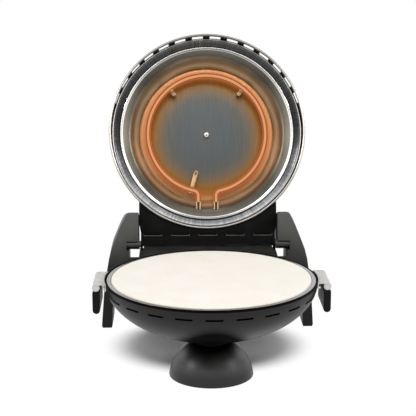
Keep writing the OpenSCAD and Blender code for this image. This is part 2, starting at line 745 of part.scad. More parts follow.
box_top = box_floor + box_h;
cover_tabs = [[ear_x - 4, hinge_y - 4], [box_half - 7, hinge_y - 58]];

box_front = 95;   // inside the lid, which cuts the box's front edge

module box_plan(w) polygon([
    [box_half - w, box_front], [box_half - w, hinge_y - 35], [box_half - 3 - w, hinge_y - 20],
    [box_half - 3 - w, box_back - w], [-box_half + 3 + w, box_back - w], [-box_half + 3 + w, hinge_y - 20],
    [-box_half + w, hinge_y - 35], [-box_half + w, box_front]]);

louvre_pitch = (2 * (box_half - 7.75) - louvre_l) / (louvres - 1);

module louvre_places() for (i = [0:louvres - 1])
    translate([(i - (louvres - 1) / 2) * louvre_pitch, hinge_y - 16, box_floor]) children();

module hinge_box() color(black) open_lid() difference() {
    union() {
        difference() {
            translate([0, 0, box_floor]) linear_extrude(box_h) box_plan(0);
            translate([0, 0, box_floor + box_wall]) linear_extrude(box_h) box_plan(box_wall);
            louvre_places() translate([-louvre_l / 2, -1.5, -1]) cube([louvre_l, 3, box_wall + 2]);
        }
        louvre_places() translate([-louvre_l / 2 - 0.8, 1.5, 0.6])
            rotate([-35, 0, 0]) translate([0, -3.4, 0]) cube([louvre_l + 1.6, 4, 0.9]);
        mirrored_x() {
            along_x(ear_x, ear_x + ear_t, hinge_y, hinge_z, ear_r);
            translate([ear_x, hinge_y - ear_r, hinge_z]) cube([ear_t, ear_r + back_gap, 20]);
            for (t = cover_tabs) translate([t[0] - 5, t[1] - 6, box_top - 6]) cube([11, 12, 6]);
        }
    }
    lid_solid(seat);
    mirrored_x() {
        along_x(ear_x + ear_skin, ear_x + ear_t + 1, hinge_y, hinge_z, bush_out_r);
        for (t = cover_tabs) translate([t[0], t[1], box_top - 8]) cylinder(h = 9, r = 1.6);
    }
}

module hinge_box_cover() color(black) open_lid() difference() {
    translate([0, 0, box_top]) linear_extrude(box_wall) box_plan(0);
    lid_solid(seat);
    mirrored_x() for (t = cover_tabs) translate([t[0], t[1], box_top - 1]) cylinder(h = 4, r = 1.9);
}

module hinge_box_screws() color(steel) open_lid() mirrored_x() for (t = cover_tabs)
    translate([t[0], t[1], box_top + box_wall]) screw(3.2, 1.6, 1.5, 6.5);

module hinge_bushes() color(brass) open_lid() mirrored_x() difference() {
    along_x(ear_x + ear_skin + 0.05, ear_x + ear_t, hinge_y, hinge_z, bush_out_r - 0.02);
    along_x(ear_x - 3, ear_x + 10, hinge_y, hinge_z, pin_r + pin_fit);
}

// ---------- lid handle ----------

bar_r = bar_d / 2;
bar_y = -(lid_r - 47);
post_x = bar_l / 2 - 11;
bar_z = dome_z_at(norm([post_x, bar_y])) + bar_clear + bar_r;

module lid_handle() color(black) open_lid() {
    along_x(-bar_l / 2 + bar_r, bar_l / 2 - bar_r, bar_y, bar_z, bar_r);
    for (x = [-1, 1]) translate([x * (bar_l / 2 - bar_r), bar_y, bar_z]) sphere(r = bar_r);
}

module lid_handle_posts() color(steel) open_lid() difference() {
    mirrored_x() translate([post_x, bar_y, bar_z - bar_clear - bar_r - 12])
        cylinder(h = bar_clear + bar_r + 12, r = 5);
    lid_solid(-0.1);
    along_x(-bar_l, bar_l, bar_y, bar_z, bar_r + 0.05);
}

bowl_shell();
base_liner();
base_insulation();
lower_element();
lower_element_clips();
lower_element_bushings();
limit_thermostat();
stone_tray();
baking_stone();
foot_dome();
foot_pad();
foot_bolt();
neck_collar();
rear_housing();
rear_cover();
rear_cover_screws();
left_arm();
right_arm();
left_leg_pad();
right_leg_pad();
arm_bolts();
left_hinge_pin();
right_hinge_pin();
hinge_spacers();
lid_stops();
thermostat();
thermostat_knob();
terminal_block();
mains_inlet();
pilot_lamp();
left_handle_bracket();
right_handle_bracket();
left_handle_pin();
right_handle_pin();
handle_rivets();
left_handle_grip();
right_handle_grip();
lid_shell();
lid_trim_ring();
lid_liner();
lid_insulation();
upper_element();
upper_element_bushings();
element_clips();
element_clip_screws();
centre_nut();
hinge_box();
hinge_box_cover();
hinge_box_screws();
hinge_bushes();
lid_handle();
lid_handle_posts();
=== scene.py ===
import json
import math

import bmesh
import bpy
from mathutils import Matrix, Vector

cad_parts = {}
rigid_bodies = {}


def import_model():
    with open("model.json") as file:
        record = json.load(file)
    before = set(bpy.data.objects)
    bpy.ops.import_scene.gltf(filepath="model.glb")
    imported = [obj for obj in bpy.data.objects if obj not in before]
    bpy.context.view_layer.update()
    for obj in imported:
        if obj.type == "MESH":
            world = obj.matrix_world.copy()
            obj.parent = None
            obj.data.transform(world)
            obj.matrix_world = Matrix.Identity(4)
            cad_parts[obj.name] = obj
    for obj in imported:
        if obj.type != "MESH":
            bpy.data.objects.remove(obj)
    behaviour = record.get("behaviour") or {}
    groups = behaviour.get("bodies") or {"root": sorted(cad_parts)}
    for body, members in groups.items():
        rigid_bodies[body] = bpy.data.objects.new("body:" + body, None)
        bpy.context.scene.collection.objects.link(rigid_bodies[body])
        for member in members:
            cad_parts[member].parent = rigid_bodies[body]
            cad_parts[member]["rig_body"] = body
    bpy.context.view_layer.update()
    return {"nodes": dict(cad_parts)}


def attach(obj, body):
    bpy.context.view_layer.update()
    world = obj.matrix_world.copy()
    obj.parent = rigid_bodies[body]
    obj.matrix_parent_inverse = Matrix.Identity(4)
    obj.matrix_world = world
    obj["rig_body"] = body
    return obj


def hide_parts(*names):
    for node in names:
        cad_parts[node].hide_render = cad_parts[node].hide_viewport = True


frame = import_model()
scene = bpy.context.scene
scene.view_settings.view_transform = "Standard"
print("frame loaded:", len(frame["nodes"]), "nodes")

# settings of the camera and the shapes are in mm and degrees, those of the finishes and the studio in metres
mm = 0.001

# camera: in front, a little to the left and above
cameraView = {"place": (-50, -1725, 669.5), "look": (0.0253, 0.9736, -0.2267), "lens": 100.3}


def linked(name, data):
    made = bpy.data.objects.new(name, data)
    scene.collection.objects.link(made)
    return made


camera = linked("camera", bpy.data.cameras.new("camera"))
camera.data.lens = cameraView["lens"]
camera.location = Vector(cameraView["place"]) * mm
camera.rotation_euler = Vector(cameraView["look"]).to_track_quat("-Z", "Y").to_euler()
scene.camera = camera

# where the lid hangs: its pieces are drawn as if closed and then swung open
lidHinge = {"y": 195, "z": 159.5, "open": 107, "lip": 158.5}

hingePoint = Vector((0, lidHinge["y"], lidHinge["z"])) * mm
openTurn = Matrix.Rotation(math.radians(-lidHinge["open"]), 4, "X")
swingOpen = Matrix.Translation(hingePoint) @ openTurn @ Matrix.Translation(-hingePoint)


# shader groups that several finishes share

def addInputs(group, inputs):
    for label, kind, value in inputs:
        made = group.interface.new_socket(label, in_out="INPUT", socket_type="NodeSocket" + kind)
        if value is not None:
            made.default_value = value


def newGroup(name, inputs, outputs):
    group = bpy.data.node_groups.new(name, "ShaderNodeTree")
    addInputs(group, inputs)
    for label, kind in outputs:
        group.interface.new_socket(label, in_out="OUTPUT", socket_type="NodeSocket" + kind)
    return group, group.nodes.new("NodeGroupInput").outputs, group.nodes.new("NodeGroupOutput").inputs


def addNode(tree, kind, settings=None, **values):
    # i0, i1 and so on are inputs by number, other keys are inputs by name
    made = tree.nodes.new(kind)
    for key, value in (settings or {}).items():
        setattr(made, key, value)
    for key, value in values.items():
        socket = made.inputs[int(key[1:]) if key[1:].isdigit() else key.replace("_", " ")]
        if isinstance(value, bpy.types.NodeSocket):
            tree.links.new(value, socket)
        else:
            socket.default_value = value
    return made


def doMath(tree, operation, a, b=0.0, clamp=False):
    settings = {"operation": operation, "use_clamp": clamp}
    return addNode(tree, "ShaderNodeMath", settings, i0=a, i1=b).outputs[0]


def product(tree, first, *others):
    for other in others:
        first = doMath(tree, "MULTIPLY", first, other)
    return first


def fade(tree, value, low, high, fromLow=0.0, fromHigh=1.0):
    made = addNode(tree, "ShaderNodeMapRange", {"interpolation_type": "SMOOTHSTEP"}, i0=value)
    for place, number in zip((1, 2, 3, 4), (low, high, fromLow, fromHigh)):
        made.inputs[place].default_value = number
    return made.outputs[0]


def between(tree, value, rise, fall):
    # 1 between the rise and the fall, 0 on both sides
    return product(tree, fade(tree, value, *rise), fade(tree, value, *fall, 1.0, 0.0))


def axisOf(tree, place, axis):
    return addNode(tree, "ShaderNodeSeparateXYZ", i0=place).outputs[axis]


def evenVector(tree, value):
    return addNode(tree, "ShaderNodeCombineXYZ", i0=value, i1=value, i2=value).outputs[0]


def vectorMath(tree, operation, a, b=(0, 0, 0), output="Vector"):
    return addNode(tree, "ShaderNodeVectorMath", {"operation": operation}, i0=a, i1=b).outputs[output]


def objectPlace(tree):
    return addNode(tree, "ShaderNodeTexCoord").outputs["Object"]


def noiseOf(tree, place, scale, detail, rough=0.5):
    return addNode(tree, "ShaderNodeTexNoise", Vector=place, Scale=scale, Detail=detail,
                   Roughness=rough).outputs["Fac"]


def buildEdgeWearAndGlint():
    # 1 on sharp corners, 0 on flat faces: paint rubbed thin on painted skins, and a painted glint on bare
    #                                      metal
    group, given, out = newGroup("edgeWearAndGlint", [("Width", "Float", 0.0008), ("Break Up", "Float", 240.0)],
                                 [("Mask", "Float")])
    soft = addNode(group, "ShaderNodeBevel", {"samples": 4}, Radius=given["Width"]).outputs[0]
    plain = addNode(group, "ShaderNodeNewGeometry").outputs["Normal"]
    corner = fade(group, vectorMath(group, "DOT_PRODUCT", soft, plain, "Value"), 0.97, 0.86)
    noise = noiseOf(group, objectPlace(group), given["Break Up"], 3.0)
    group.links.new(product(group, corner, fade(group, noise, 0.35, 0.65, 0.35, 1.0)), out["Mask"])
    return group


def buildPaintGrain():
    # fine orange peel and slow mottling of a sprayed or moulded skin
    group, given, out = newGroup("paintGrain", [("Scale", "Float", 900.0)],
                                 [("Height", "Float"), ("Mottle", "Float")])
    place = objectPlace(group)
    group.links.new(noiseOf(group, place, given["Scale"], 2.0), out["Height"])
    group.links.new(fade(group, noiseOf(group, place, 14.0, 4.0), 0.3, 0.7), out["Mottle"])
    return group


def buildDrawnGrain():
    # long scratches of drawn sheet: the stretch makes them run along one axis
    inputs = [("Vector", "Vector", None), ("Stretch", "Vector", (1, 1, 1)), ("Scale", "Float", 700.0)]
    group, given, out = newGroup("drawnGrain", inputs, [("Height", "Float"), ("Shade", "Float")])
    pulled = vectorMath(group, "MULTIPLY", given["Vector"], given["Stretch"])
    fine = noiseOf(group, pulled, given["Scale"], 3.0)
    wide = fade(group, noiseOf(group, pulled, 90.0, 3.0), 0.2, 0.8, 0.6, 1.0)
    group.links.new(fine, out["Height"])
    group.links.new(product(group, fade(group, fine, 0.25, 0.75), wide), out["Shade"])
    return group


def buildSettledDust():
    # a thin veil on what faces up
    group, given, out = newGroup("settledDust", [("Amount", "Float", 0.1)], [("Mask", "Float")])
    up = axisOf(group, addNode(group, "ShaderNodeNewGeometry").outputs["Normal"], "Z")
    noise = noiseOf(group, objectPlace(group), 60.0, 6.0)
    veil = product(group, fade(group, up, 0.2, 1.0), fade(group, noise, 0.4, 0.75), given["Amount"])
    group.links.new(veil, out["Mask"])
    return group


edgeWearAndGlint, paintGrain = buildEdgeWearAndGlint(), buildPaintGrain()
drawnGrain, settledDust = buildDrawnGrain(), buildSettledDust()


def useGroup(tree, group, **values):
    return addNode(tree, "ShaderNodeGroup", {"node_tree": group}, **values)


def rampOf(tree, value, stops):
    # colours set at real distances: the ramp runs from the first stop to the last
    low, high = stops[0][0], stops[-1][0]
    share = doMath(tree, "DIVIDE", doMath(tree, "SUBTRACT", value, low), high - low, True)
    made = addNode(tree, "ShaderNodeValToRGB", Fac=share)
    ramp = made.color_ramp
    ramp.interpolation = "EASE"
    while len(ramp.elements) < len(stops):
        ramp.elements.new(1.0)
    for element, (place, colour) in zip(ramp.elements, stops):
        element.position = (place - low) / (high - low)
        element.color = (*colour, 1)
    return made.outputs[0]


def newFinish(name, **constants):
    finish = bpy.data.materials.new(name)
    finish.use_nodes = True
    tree = finish.node_tree
    skin = tree.nodes["Principled BSDF"]
    for key, value in constants.items():
        skin.inputs[key.replace("_", " ")].default_value = value
    return finish, tree, skin


def mixedColours(tree, settings, share, first, second):
    # the colour sockets of a mix node in colour mode are 6 and 7
    made = addNode(tree, "ShaderNodeMix", {"data_type": "RGBA", **settings}, i0=share)
    for place, value in ((6, first), (7, second)):
        if isinstance(value, bpy.types.NodeSocket):
            tree.links.new(value, made.inputs[place])
        else:
            made.inputs[place].default_value = (*value, 1)
    return made.outputs[2]


def blendColour(tree, mask, first, second):
    return mixedColours(tree, {}, mask, first, second)


def multiplied(tree, first, second):
    return mixedColours(tree, {"blend_type": "MULTIPLY"}, 1.0, first, second)


def blendValue(tree, mask, first, second):
    rest = doMath(tree, "SUBTRACT", 1.0, mask)
    return doMath(tree, "ADD", product(tree, second, mask), product(tree, first, rest))


def feed(tree, skin, **sockets):
    # links values to the named inputs of a skin
    for name, value in sockets.items():
        tree.links.new(value, skin.inputs[name.replace("_", " ")])


def raiseSkin(tree, skin, height, depth):
    feed(tree, skin, Normal=addNode(tree, "ShaderNodeBump", Height=height, Distance=depth).outputs[0])


def facingOf(tree):
    # 0 where the skin faces the eye, 1 where it turns away
    return addNode(tree, "ShaderNodeLayerWeight", Blend=0.5).outputs["Facing"]


def lidPlace(tree):
    # the same point with the lid down, measured from the middle of its lip
    back = openTurn.inverted()
    shift = hingePoint - back @ hingePoint - Vector((0, 0, lidHinge["lip"])) * mm
    made = addNode(tree, "ShaderNodeMapping", Vector=objectPlace(tree))
    made.inputs["Rotation"].default_value = (math.radians(lidHinge["open"]), 0, 0)
    made.inputs["Location"].default_value = shift
    return made.outputs[0]


def sweepPlace(tree, place):
    # the direction of a place from the axis, so that marks run outwards from the middle
    return vectorMath(tree, "NORMALIZE", vectorMath(tree, "MULTIPLY", place, (1, 1, 0)))


def radiusOf(tree, place):
    return vectorMath(tree, "LENGTH", vectorMath(tree, "MULTIPLY", place, (1, 1, 0)), output="Value")


# finishes

def paintFinish(name, colour, rubbed, rough, gloss, grain=900.0, depth=0.00003, dust=0.05):
    finish, tree, skin = newFinish(name, Specular_IOR_Level=gloss)
    edgeMask = useGroup(tree, edgeWearAndGlint)
    peel = useGroup(tree, paintGrain, Scale=grain)
    veil = useGroup(tree, settledDust, Amount=dust)
    dark = tuple(c * 0.85 for c in colour)
    base = blendColour(tree, peel.outputs["Mottle"], dark, colour)
    base = blendColour(tree, edgeMask.outputs["Mask"], base, rubbed)
    base = blendColour(tree, veil.outputs["Mask"], base, (0.3, 0.29, 0.27))
    feed(tree, skin, Base_Color=base)
    feed(tree, skin, Roughness=fade(tree, peel.outputs["Mottle"], 0, 1, rough - 0.04, rough + 0.04))
    raiseSkin(tree, skin, peel.outputs["Height"], depth)
    return finish


def steelSkin(tree, skin, grain, colour, contrast, dull, bright):
    dark = tuple(c * (1 - contrast) for c in colour)
    shade = grain.outputs["Shade"]
    feed(tree, skin, Base_Color=blendColour(tree, shade, dark, colour),
         Roughness=fade(tree, shade, 0, 1, dull, bright))


def drawnSteel(name, colour, rough, stretch, contrast, scale):
    finish, tree, skin = newFinish(name, Metallic=1.0)
    grain = useGroup(tree, drawnGrain, Vector=objectPlace(tree), Stretch=stretch, Scale=scale)
    steelSkin(tree, skin, grain, colour, contrast, rough + 0.08, rough - 0.04)
    raiseSkin(tree, skin, grain.outputs["Height"], 0.00001)
    return finish


def turnedGrain(tree, place):
    # marks of a lathe run round the axis, so they change with radius and height alone
    rings = addNode(tree, "ShaderNodeCombineXYZ", i0=radiusOf(tree, place), i1=axisOf(tree, place, "Z"))
    return useGroup(tree, drawnGrain, Vector=rings.outputs[0], Scale=1800.0)


def metalGrain(tree, place):
    return useGroup(tree, drawnGrain, Vector=place, Scale=500.0)


def grained(tree, colour, grain):
    return multiplied(tree, colour, blendColour(tree, grain.outputs["Shade"], (0.8, 0.8, 0.8), (1, 1, 1)))


def spunSteel(name, colour, rough, contrast):
    finish, tree, skin = newFinish(name, Metallic=1.0)
    grain = turnedGrain(tree, objectPlace(tree))
    steelSkin(tree, skin, grain, colour, contrast, rough + 0.06, rough - 0.03)
    return finish


# colours across the lining by distance from the middle of the lid: ceiling, heat-stained edge with painted
# glow of the tube, wall with painted highlight bands on its step, shelf
liningColours = [
    (0.0, (0.085, 0.088, 0.088)), (0.044, (0.080, 0.086, 0.087)), (0.066, (0.088, 0.088, 0.078)),
    (0.075, (0.115, 0.094, 0.070)), (0.082, (0.145, 0.098, 0.060)), (0.089, (0.185, 0.105, 0.042)),
    (0.096, (0.225, 0.088, 0.020)), (0.106, (0.250, 0.100, 0.026)), (0.112, (0.290, 0.130, 0.052)),
    (0.1162, (0.320, 0.160, 0.070)), (0.1180, (0.220, 0.120, 0.055)), (0.1205, (0.360, 0.230, 0.120)),
    (0.1245, (0.550, 0.440, 0.310)), (0.128, (0.420, 0.335, 0.225)), (0.131, (0.370, 0.320, 0.240)),
    (0.1345, (0.185, 0.165, 0.128)), (0.138, (0.110, 0.095, 0.072)), (0.1415, (0.125, 0.115, 0.092)),
    (0.145, (0.145, 0.137, 0.115)), (0.1482, (0.170, 0.162, 0.140))]
# painted reflections round the lid, as brightness by direction: -1 is the front edge of the closed lid, 0
# its sides, 1 its back
shelfPaintedLight = [(-1.0, 0.8), (-0.88, 0.66), (-0.68, 0.50), (-0.35, 1.0), (0.0, 1.40), (0.35, 0.80),
               (0.68, 0.34), (0.88, 0.36), (1.0, 0.42)]
beadPaintedLight = [(-1.0, 0.42), (-0.75, 0.50), (-0.35, 0.95), (0.3, 0.95), (0.72, 0.85), (0.9, 0.34),
              (1.0, 0.20)]
conePaintedLight = [(-1.0, 1.55), (-0.6, 1.15), (-0.2, 0.9), (0.1, 1.1), (0.35, 2.4), (0.62, 4.2), (0.85, 3.9),
              (1.0, 3.1)]
flangePaintedLight = [(-1.0, 0.42), (-0.5, 0.52), (0.0, 0.85), (0.5, 0.50), (0.8, 0.20), (1.0, 0.08)]
trimPaintedLight = [(-1.0, 0.20), (-0.8, 0.26), (-0.5, 0.50), (-0.1, 0.85), (0.2, 0.78), (0.6, 0.38), (1.0, 0.30)]
# dark grey that the cone's painted reflections brighten
coneColour = (0.046, 0.047, 0.048)
# where the parts of the lining begin, by distance from the middle of the lid
liningEdges = {"wall": (0.1165, 0.1195), "shelf": (0.1265, 0.1345), "bead": (0.1464, 0.1472),
               "cone": (0.1518, 0.1524), "outerCone": (0.1575, 0.1605), "dullEdge": (0.1613, 0.1618),
               "flange": (0.1626, 0.1630)}
# light of the tube on the lining: on the wall beside it, on the wall's foot, and above that at the front
ringGlow = {"rise": (0.1045, 0.108), "fall": (0.1145, 0.1178), "back": (0.035, 0.112, 1.0, 0.12),
            "colour": (0.25, 0.085, 0.034)}
footGlow = {"rise": (0.1212, 0.1236), "fall": (0.1262, 0.1290), "back": (0.02, 0.11, 1.0, 0.6),
            "colour": (0.125, 0.098, 0.056)}
frontGlow = {"rise": (0.1250, 0.1275), "fall": (0.1300, 0.1345), "back": (-0.070, 0.0, 0.55, 0.0)}


def paintedLightRound(tree, place, stops, tint=(1, 1, 1)):
    # paints reflection round the lid: a grey by direction from the lid's middle, times the tint
    share = doMath(tree, "DIVIDE", axisOf(tree, place, "Y"), radiusOf(tree, place))
    top = max(number for at, number in stops)
    greys = rampOf(tree, share, [(at, (number / top,) * 3) for at, number in stops])
    return multiplied(tree, greys, tuple(top * part for part in tint))


def lidGlow(tree, radius, north, glow):
    return product(tree, between(tree, radius, glow["rise"], glow["fall"]),
                   fade(tree, north, *glow["back"]))


def linedSteel():
    finish, tree, skin = newFinish("liningSteel", Metallic=1.0, Emission_Strength=1.0)
    place = lidPlace(tree)
    radius = radiusOf(tree, place)
    north = axisOf(tree, place, "Y")
    drawn = useGroup(tree, drawnGrain, Vector=place, Stretch=(1, 0.03, 0.3), Scale=900.0)
    spun = useGroup(tree, drawnGrain, Vector=sweepPlace(tree, place), Scale=150.0)
    noise = noiseOf(tree, place, 16.0, 3.0)
    drift = product(tree, doMath(tree, "SUBTRACT", noise, 0.5), 0.010)
    within = {part: fade(tree, radius, *edges) for part, edges in liningEdges.items()}
    # the tone is heat stain with painted glow and painted highlight bands
    tone = rampOf(tree, doMath(tree, "ADD", radius, drift), liningColours)
    scratch = blendColour(tree, drawn.outputs["Shade"], (0.88, 0.88, 0.88), (1.06, 1.06, 1.06))
    base = multiplied(tree, tone, blendColour(tree, within["wall"], scratch, (1, 1, 1)))
    # painted reflections: the shelf, bead, cone and flange are lit and darkened by direction round the lid,
    # and the outer cone gets a painted highlight
    around = paintedLightRound(tree, place, shelfPaintedLight)
    base = multiplied(tree, base, blendColour(tree, within["shelf"], (1, 1, 1), around))
    base = blendColour(tree, within["bead"], base, paintedLightRound(tree, place, beadPaintedLight, (1, 0.985, 0.94)))
    outer = doMath(tree, "ADD", product(tree, within["outerCone"], 0.7), 1.0)
    streak = product(tree, fade(tree, spun.outputs["Shade"], 0, 1, 0.55, 1.35), outer)
    cone = multiplied(tree, paintedLightRound(tree, place, conePaintedLight, coneColour), evenVector(tree, streak))
    base = blendColour(tree, within["cone"], base, cone)
    base = blendColour(tree, within["flange"], base, paintedLightRound(tree, place, flangePaintedLight, (1, 0.95, 0.86)))
    feed(tree, skin, Base_Color=base)
    lit = doMath(tree, "MAXIMUM", lidGlow(tree, radius, north, footGlow),
                 lidGlow(tree, radius, north, frontGlow))
    glow = blendColour(tree, lidGlow(tree, radius, north, ringGlow), (0, 0, 0), ringGlow["colour"])
    feed(tree, skin, Emission_Color=blendColour(tree, lit, glow, footGlow["colour"]))
    smooth = product(tree, within["bead"], doMath(tree, "SUBTRACT", 1.0, within["dullEdge"]))
    rough = fade(tree, drawn.outputs["Shade"], 0, 1, 0.42, 0.30)
    polished = fade(tree, spun.outputs["Shade"], 0, 1, 0.24, 0.14)
    feed(tree, skin, Roughness=blendValue(tree, smooth, rough, polished))
    raiseSkin(tree, skin, drawn.outputs["Height"], 0.00001)
    return finish


# the peach middle, set by facing, is a painted highlight on the tube's own red-orange glow
tubeLook = {"middle": (0.66, 0.33, 0.15), "line": (0.33, 0.062, 0.012), "edge": (0.48, 0.140, 0.040),
            "cold": (0.02, 0.012, 0.008), "lineFrom": (0.04, 0.17), "edgeFrom": (0.32, 0.60),
            "ends": (0.138, 0.148, 1.0, 0.0), "below": (-0.02, 0.0, 1.0, 0.0)}


def glowingTube():
    # peach where it faces the eye as a painted highlight, red-orange where it turns away, and cold past the
    # wall of the lid
    finish, tree, skin = newFinish("glowingTube", Roughness=0.6, Specular_IOR_Level=0.1,
                                   Emission_Strength=1.0)
    noise = noiseOf(tree, objectPlace(tree), 500.0, 3.0)
    oxide = fade(tree, noise, 0.3, 0.7)
    feed(tree, skin, Base_Color=blendColour(tree, oxide, (0.05, 0.015, 0.008), (0.09, 0.03, 0.012)))
    facing = facingOf(tree)
    glow = blendColour(tree, fade(tree, facing, *tubeLook["lineFrom"]), tubeLook["middle"],
                       tubeLook["line"])
    glow = blendColour(tree, fade(tree, facing, *tubeLook["edgeFrom"]), glow, tubeLook["edge"])
    inLid = lidPlace(tree)
    inside = fade(tree, axisOf(tree, inLid, "Y"), *tubeLook["ends"])
    warm = doMath(tree, "MAXIMUM", inside, fade(tree, axisOf(tree, inLid, "Z"), *tubeLook["below"]))
    glow = blendColour(tree, warm, tubeLook["cold"], glow)
    feed(tree, skin, Emission_Color=glow)
    raiseSkin(tree, skin, noise, 0.00002)
    return finish


def firedStone():
    finish, tree, skin = newFinish("firedStone", Specular_IOR_Level=0.25)
    place = objectPlace(tree)
    cloud, grit = noiseOf(tree, place, 26.0, 5.0), noiseOf(tree, place, 1300.0, 2.0)
    pores = addNode(tree, "ShaderNodeTexVoronoi", Vector=place, Scale=420.0).outputs["Distance"]
    pits = fade(tree, pores, 0.05, 0.16, 1.0, 0.0)
    base = blendColour(tree, fade(tree, cloud, 0.3, 0.7), (0.93, 0.885, 0.80), (0.955, 0.92, 0.85))
    base = blendColour(tree, fade(tree, grit, 0.62, 0.72), base, (0.72, 0.64, 0.52))
    base = blendColour(tree, product(tree, pits, 0.45), base, (0.55, 0.48, 0.38))
    feed(tree, skin, Base_Color=base)
    feed(tree, skin, Roughness=fade(tree, cloud, 0.2, 0.8, 0.78, 0.92))
    raiseSkin(tree, skin, doMath(tree, "SUBTRACT", grit, pits), 0.00008)
    return finish


def paintLightAndShade(finish, gloss, levelOf):
    # paints light and shade into a skin: darker where the level, worked out from height and distance to the
    # axis, is below 1, lighter where it is above 1
    tree = finish.node_tree
    skin = tree.nodes["Principled BSDF"]
    place = objectPlace(tree)
    level = levelOf(tree, axisOf(tree, place, "Z"), radiusOf(tree, place))
    base = multiplied(tree, skin.inputs["Base Color"].links[0].from_socket, evenVector(tree, level))
    feed(tree, skin, Base_Color=base, Specular_IOR_Level=product(tree, level, gloss))


def trimFinish():
    finish, tree, skin = newFinish("trimSteel", Metallic=1.0, Roughness=0.28)
    place = lidPlace(tree)
    # painted reflection: lighter at the ring's sides than at its front and back, and dark where it turns
    # away from the eye
    base = grained(tree, paintedLightRound(tree, place, trimPaintedLight, (1, 0.96, 0.88)), turnedGrain(tree, place))
    turnedAway = fade(tree, facingOf(tree), 0.38, 0.62)
    feed(tree, skin, Base_Color=blendColour(tree, turnedAway, base, (0.045, 0.042, 0.038)))
    return finish


def edgedMetal(name, flat, edge):
    # dull on its faces, with painted highlights along its edges
    finish, tree, skin = newFinish(name, Metallic=1.0, Roughness=0.3)
    edgeMask = useGroup(tree, edgeWearAndGlint, Width=0.0006, Break_Up=500.0)
    grain = metalGrain(tree, objectPlace(tree))
    base = blendColour(tree, grain.outputs["Shade"], tuple(part * 0.6 for part in flat), flat)
    feed(tree, skin, Base_Color=blendColour(tree, edgeMask.outputs["Mask"], base, edge))
    return finish


# colours by radius: painted shade in the end of the stud, a painted glint on the nut, then the dull washer
nutColours = [(0.0, (0.05, 0.05, 0.05)), (0.0012, (0.06, 0.058, 0.05)), (0.0020, (0.80, 0.77, 0.70)),
              (0.0034, (0.70, 0.68, 0.62)), (0.0042, (0.12, 0.12, 0.115)), (0.0080, (0.08, 0.08, 0.078))]


def nutMetal():
    # a painted glint on the nut round painted shade in the end of its stud, on a dull washer
    finish, tree, skin = newFinish("nutMetal", Metallic=1.0, Roughness=0.3)
    place = lidPlace(tree)
    tone = rampOf(tree, radiusOf(tree, place), nutColours)
    feed(tree, skin, Base_Color=grained(tree, tone, metalGrain(tree, place)))
    return finish


def sleeveMetal():
    # a polished tube with painted reflections: bright lines down both sides of a dark middle
    finish, tree, skin = newFinish("sleeveMetal", Metallic=1.0, Roughness=0.22)
    facing = facingOf(tree)
    base = blendColour(tree, fade(tree, facing, 0.03, 0.14), (0.10, 0.05, 0.02), (0.95, 0.72, 0.46))
    base = blendColour(tree, fade(tree, facing, 0.45, 0.65), base, (0.20, 0.10, 0.04))
    feed(tree, skin, Base_Color=grained(tree, base, metalGrain(tree, objectPlace(tree))))
    return finish


def lampLens():
    finish, tree, skin = newFinish("lampLens", Roughness=0.12, Transmission_Weight=0.6, IOR=1.49,
                                   Coat_Weight=0.3)
    place = objectPlace(tree)
    facet = addNode(tree, "ShaderNodeTexVoronoi", Vector=place, Scale=900.0).outputs["Distance"]
    tone = blendColour(tree, fade(tree, facet, 0.0, 0.6), (0.55, 0.03, 0.015), (0.75, 0.08, 0.04))
    feed(tree, skin, Base_Color=tone)
    raiseSkin(tree, skin, facet, 0.0001)
    return finish


def feltedWool():
    finish, tree, skin = newFinish("feltedWool", Roughness=0.95)
    tuft = noiseOf(tree, objectPlace(tree), 300.0, 8.0, 0.7)
    tone = blendColour(tree, fade(tree, tuft, 0.3, 0.7), (0.5, 0.42, 0.25), (0.78, 0.72, 0.55))
    feed(tree, skin, Base_Color=tone)
    raiseSkin(tree, skin, tuft, 0.0008)
    return finish


# painted shade: the oval of the bowl's skin, dark inside it, the band under the rim, and the painted shadow
# in the hollow over the foot
bowlShade = {"radius": 0.165, "rim": 0.157, "depth": 0.091, "skin": (0.992, 0.9965, 0.04, 1.0),
             "underRim": (0.1528, 0.1538, 1.0, 0.12), "hollow": (0.7, 1.3, 0.03, 1.0), "hollowHalf": 0.050,
             "hollowFrom": 0.090, "hollowHigh": 0.034}


def ovalReach(tree, east, halfWidth, height, middle, halfHeight):
    # 1 on an oval, less inside it and more outside it
    across = doMath(tree, "DIVIDE", east, halfWidth)
    up = doMath(tree, "DIVIDE", doMath(tree, "SUBTRACT", height, middle), halfHeight)
    squares = [doMath(tree, "POWER", part, 2.0) for part in (across, up)]
    return doMath(tree, "SQRT", doMath(tree, "ADD", *squares))


def bowlLevel(tree, height, radius):
    # painted shade under the rim and inside the slots, and a painted shadow in the hollow over the foot
    look = bowlShade
    depth = ovalReach(tree, radius, look["radius"], height, look["rim"], look["depth"])
    side = axisOf(tree, objectPlace(tree), "X")
    spread = ovalReach(tree, side, look["hollowHalf"], height, look["hollowFrom"], look["hollowHigh"])
    return product(tree, fade(tree, height, *look["underRim"]), fade(tree, spread, *look["hollow"]),
                   fade(tree, depth, *look["skin"]))


# heights from and to, then the levels there: painted shade at the hem, painted highlight on the shoulder and
# painted shadow at the neck of the foot
footLightAndShade = [(0.008, 0.028, 0.6, 1.0), (0.028, 0.038, 1.0, 1.5), (0.040, 0.0525, 1.0, 0.02)]


def footLevel(tree, height, radius):
    # a painted highlight across the shoulder, painted shade at the hem and a painted shadow under the bowl
    return product(tree, *(fade(tree, height, *steps) for steps in footLightAndShade))


def armLevel(tree, height, radius):
    # painted shade towards the floor and painted light towards the top
    return fade(tree, height, 0.09, 0.195, 0.36, 1.5)


def reflectorLevel(tree, height, radius):
    # painted shade beyond the tube, where the bowl's slots show it
    return fade(tree, radius, 0.115, 0.140, 1.0, 0.03)


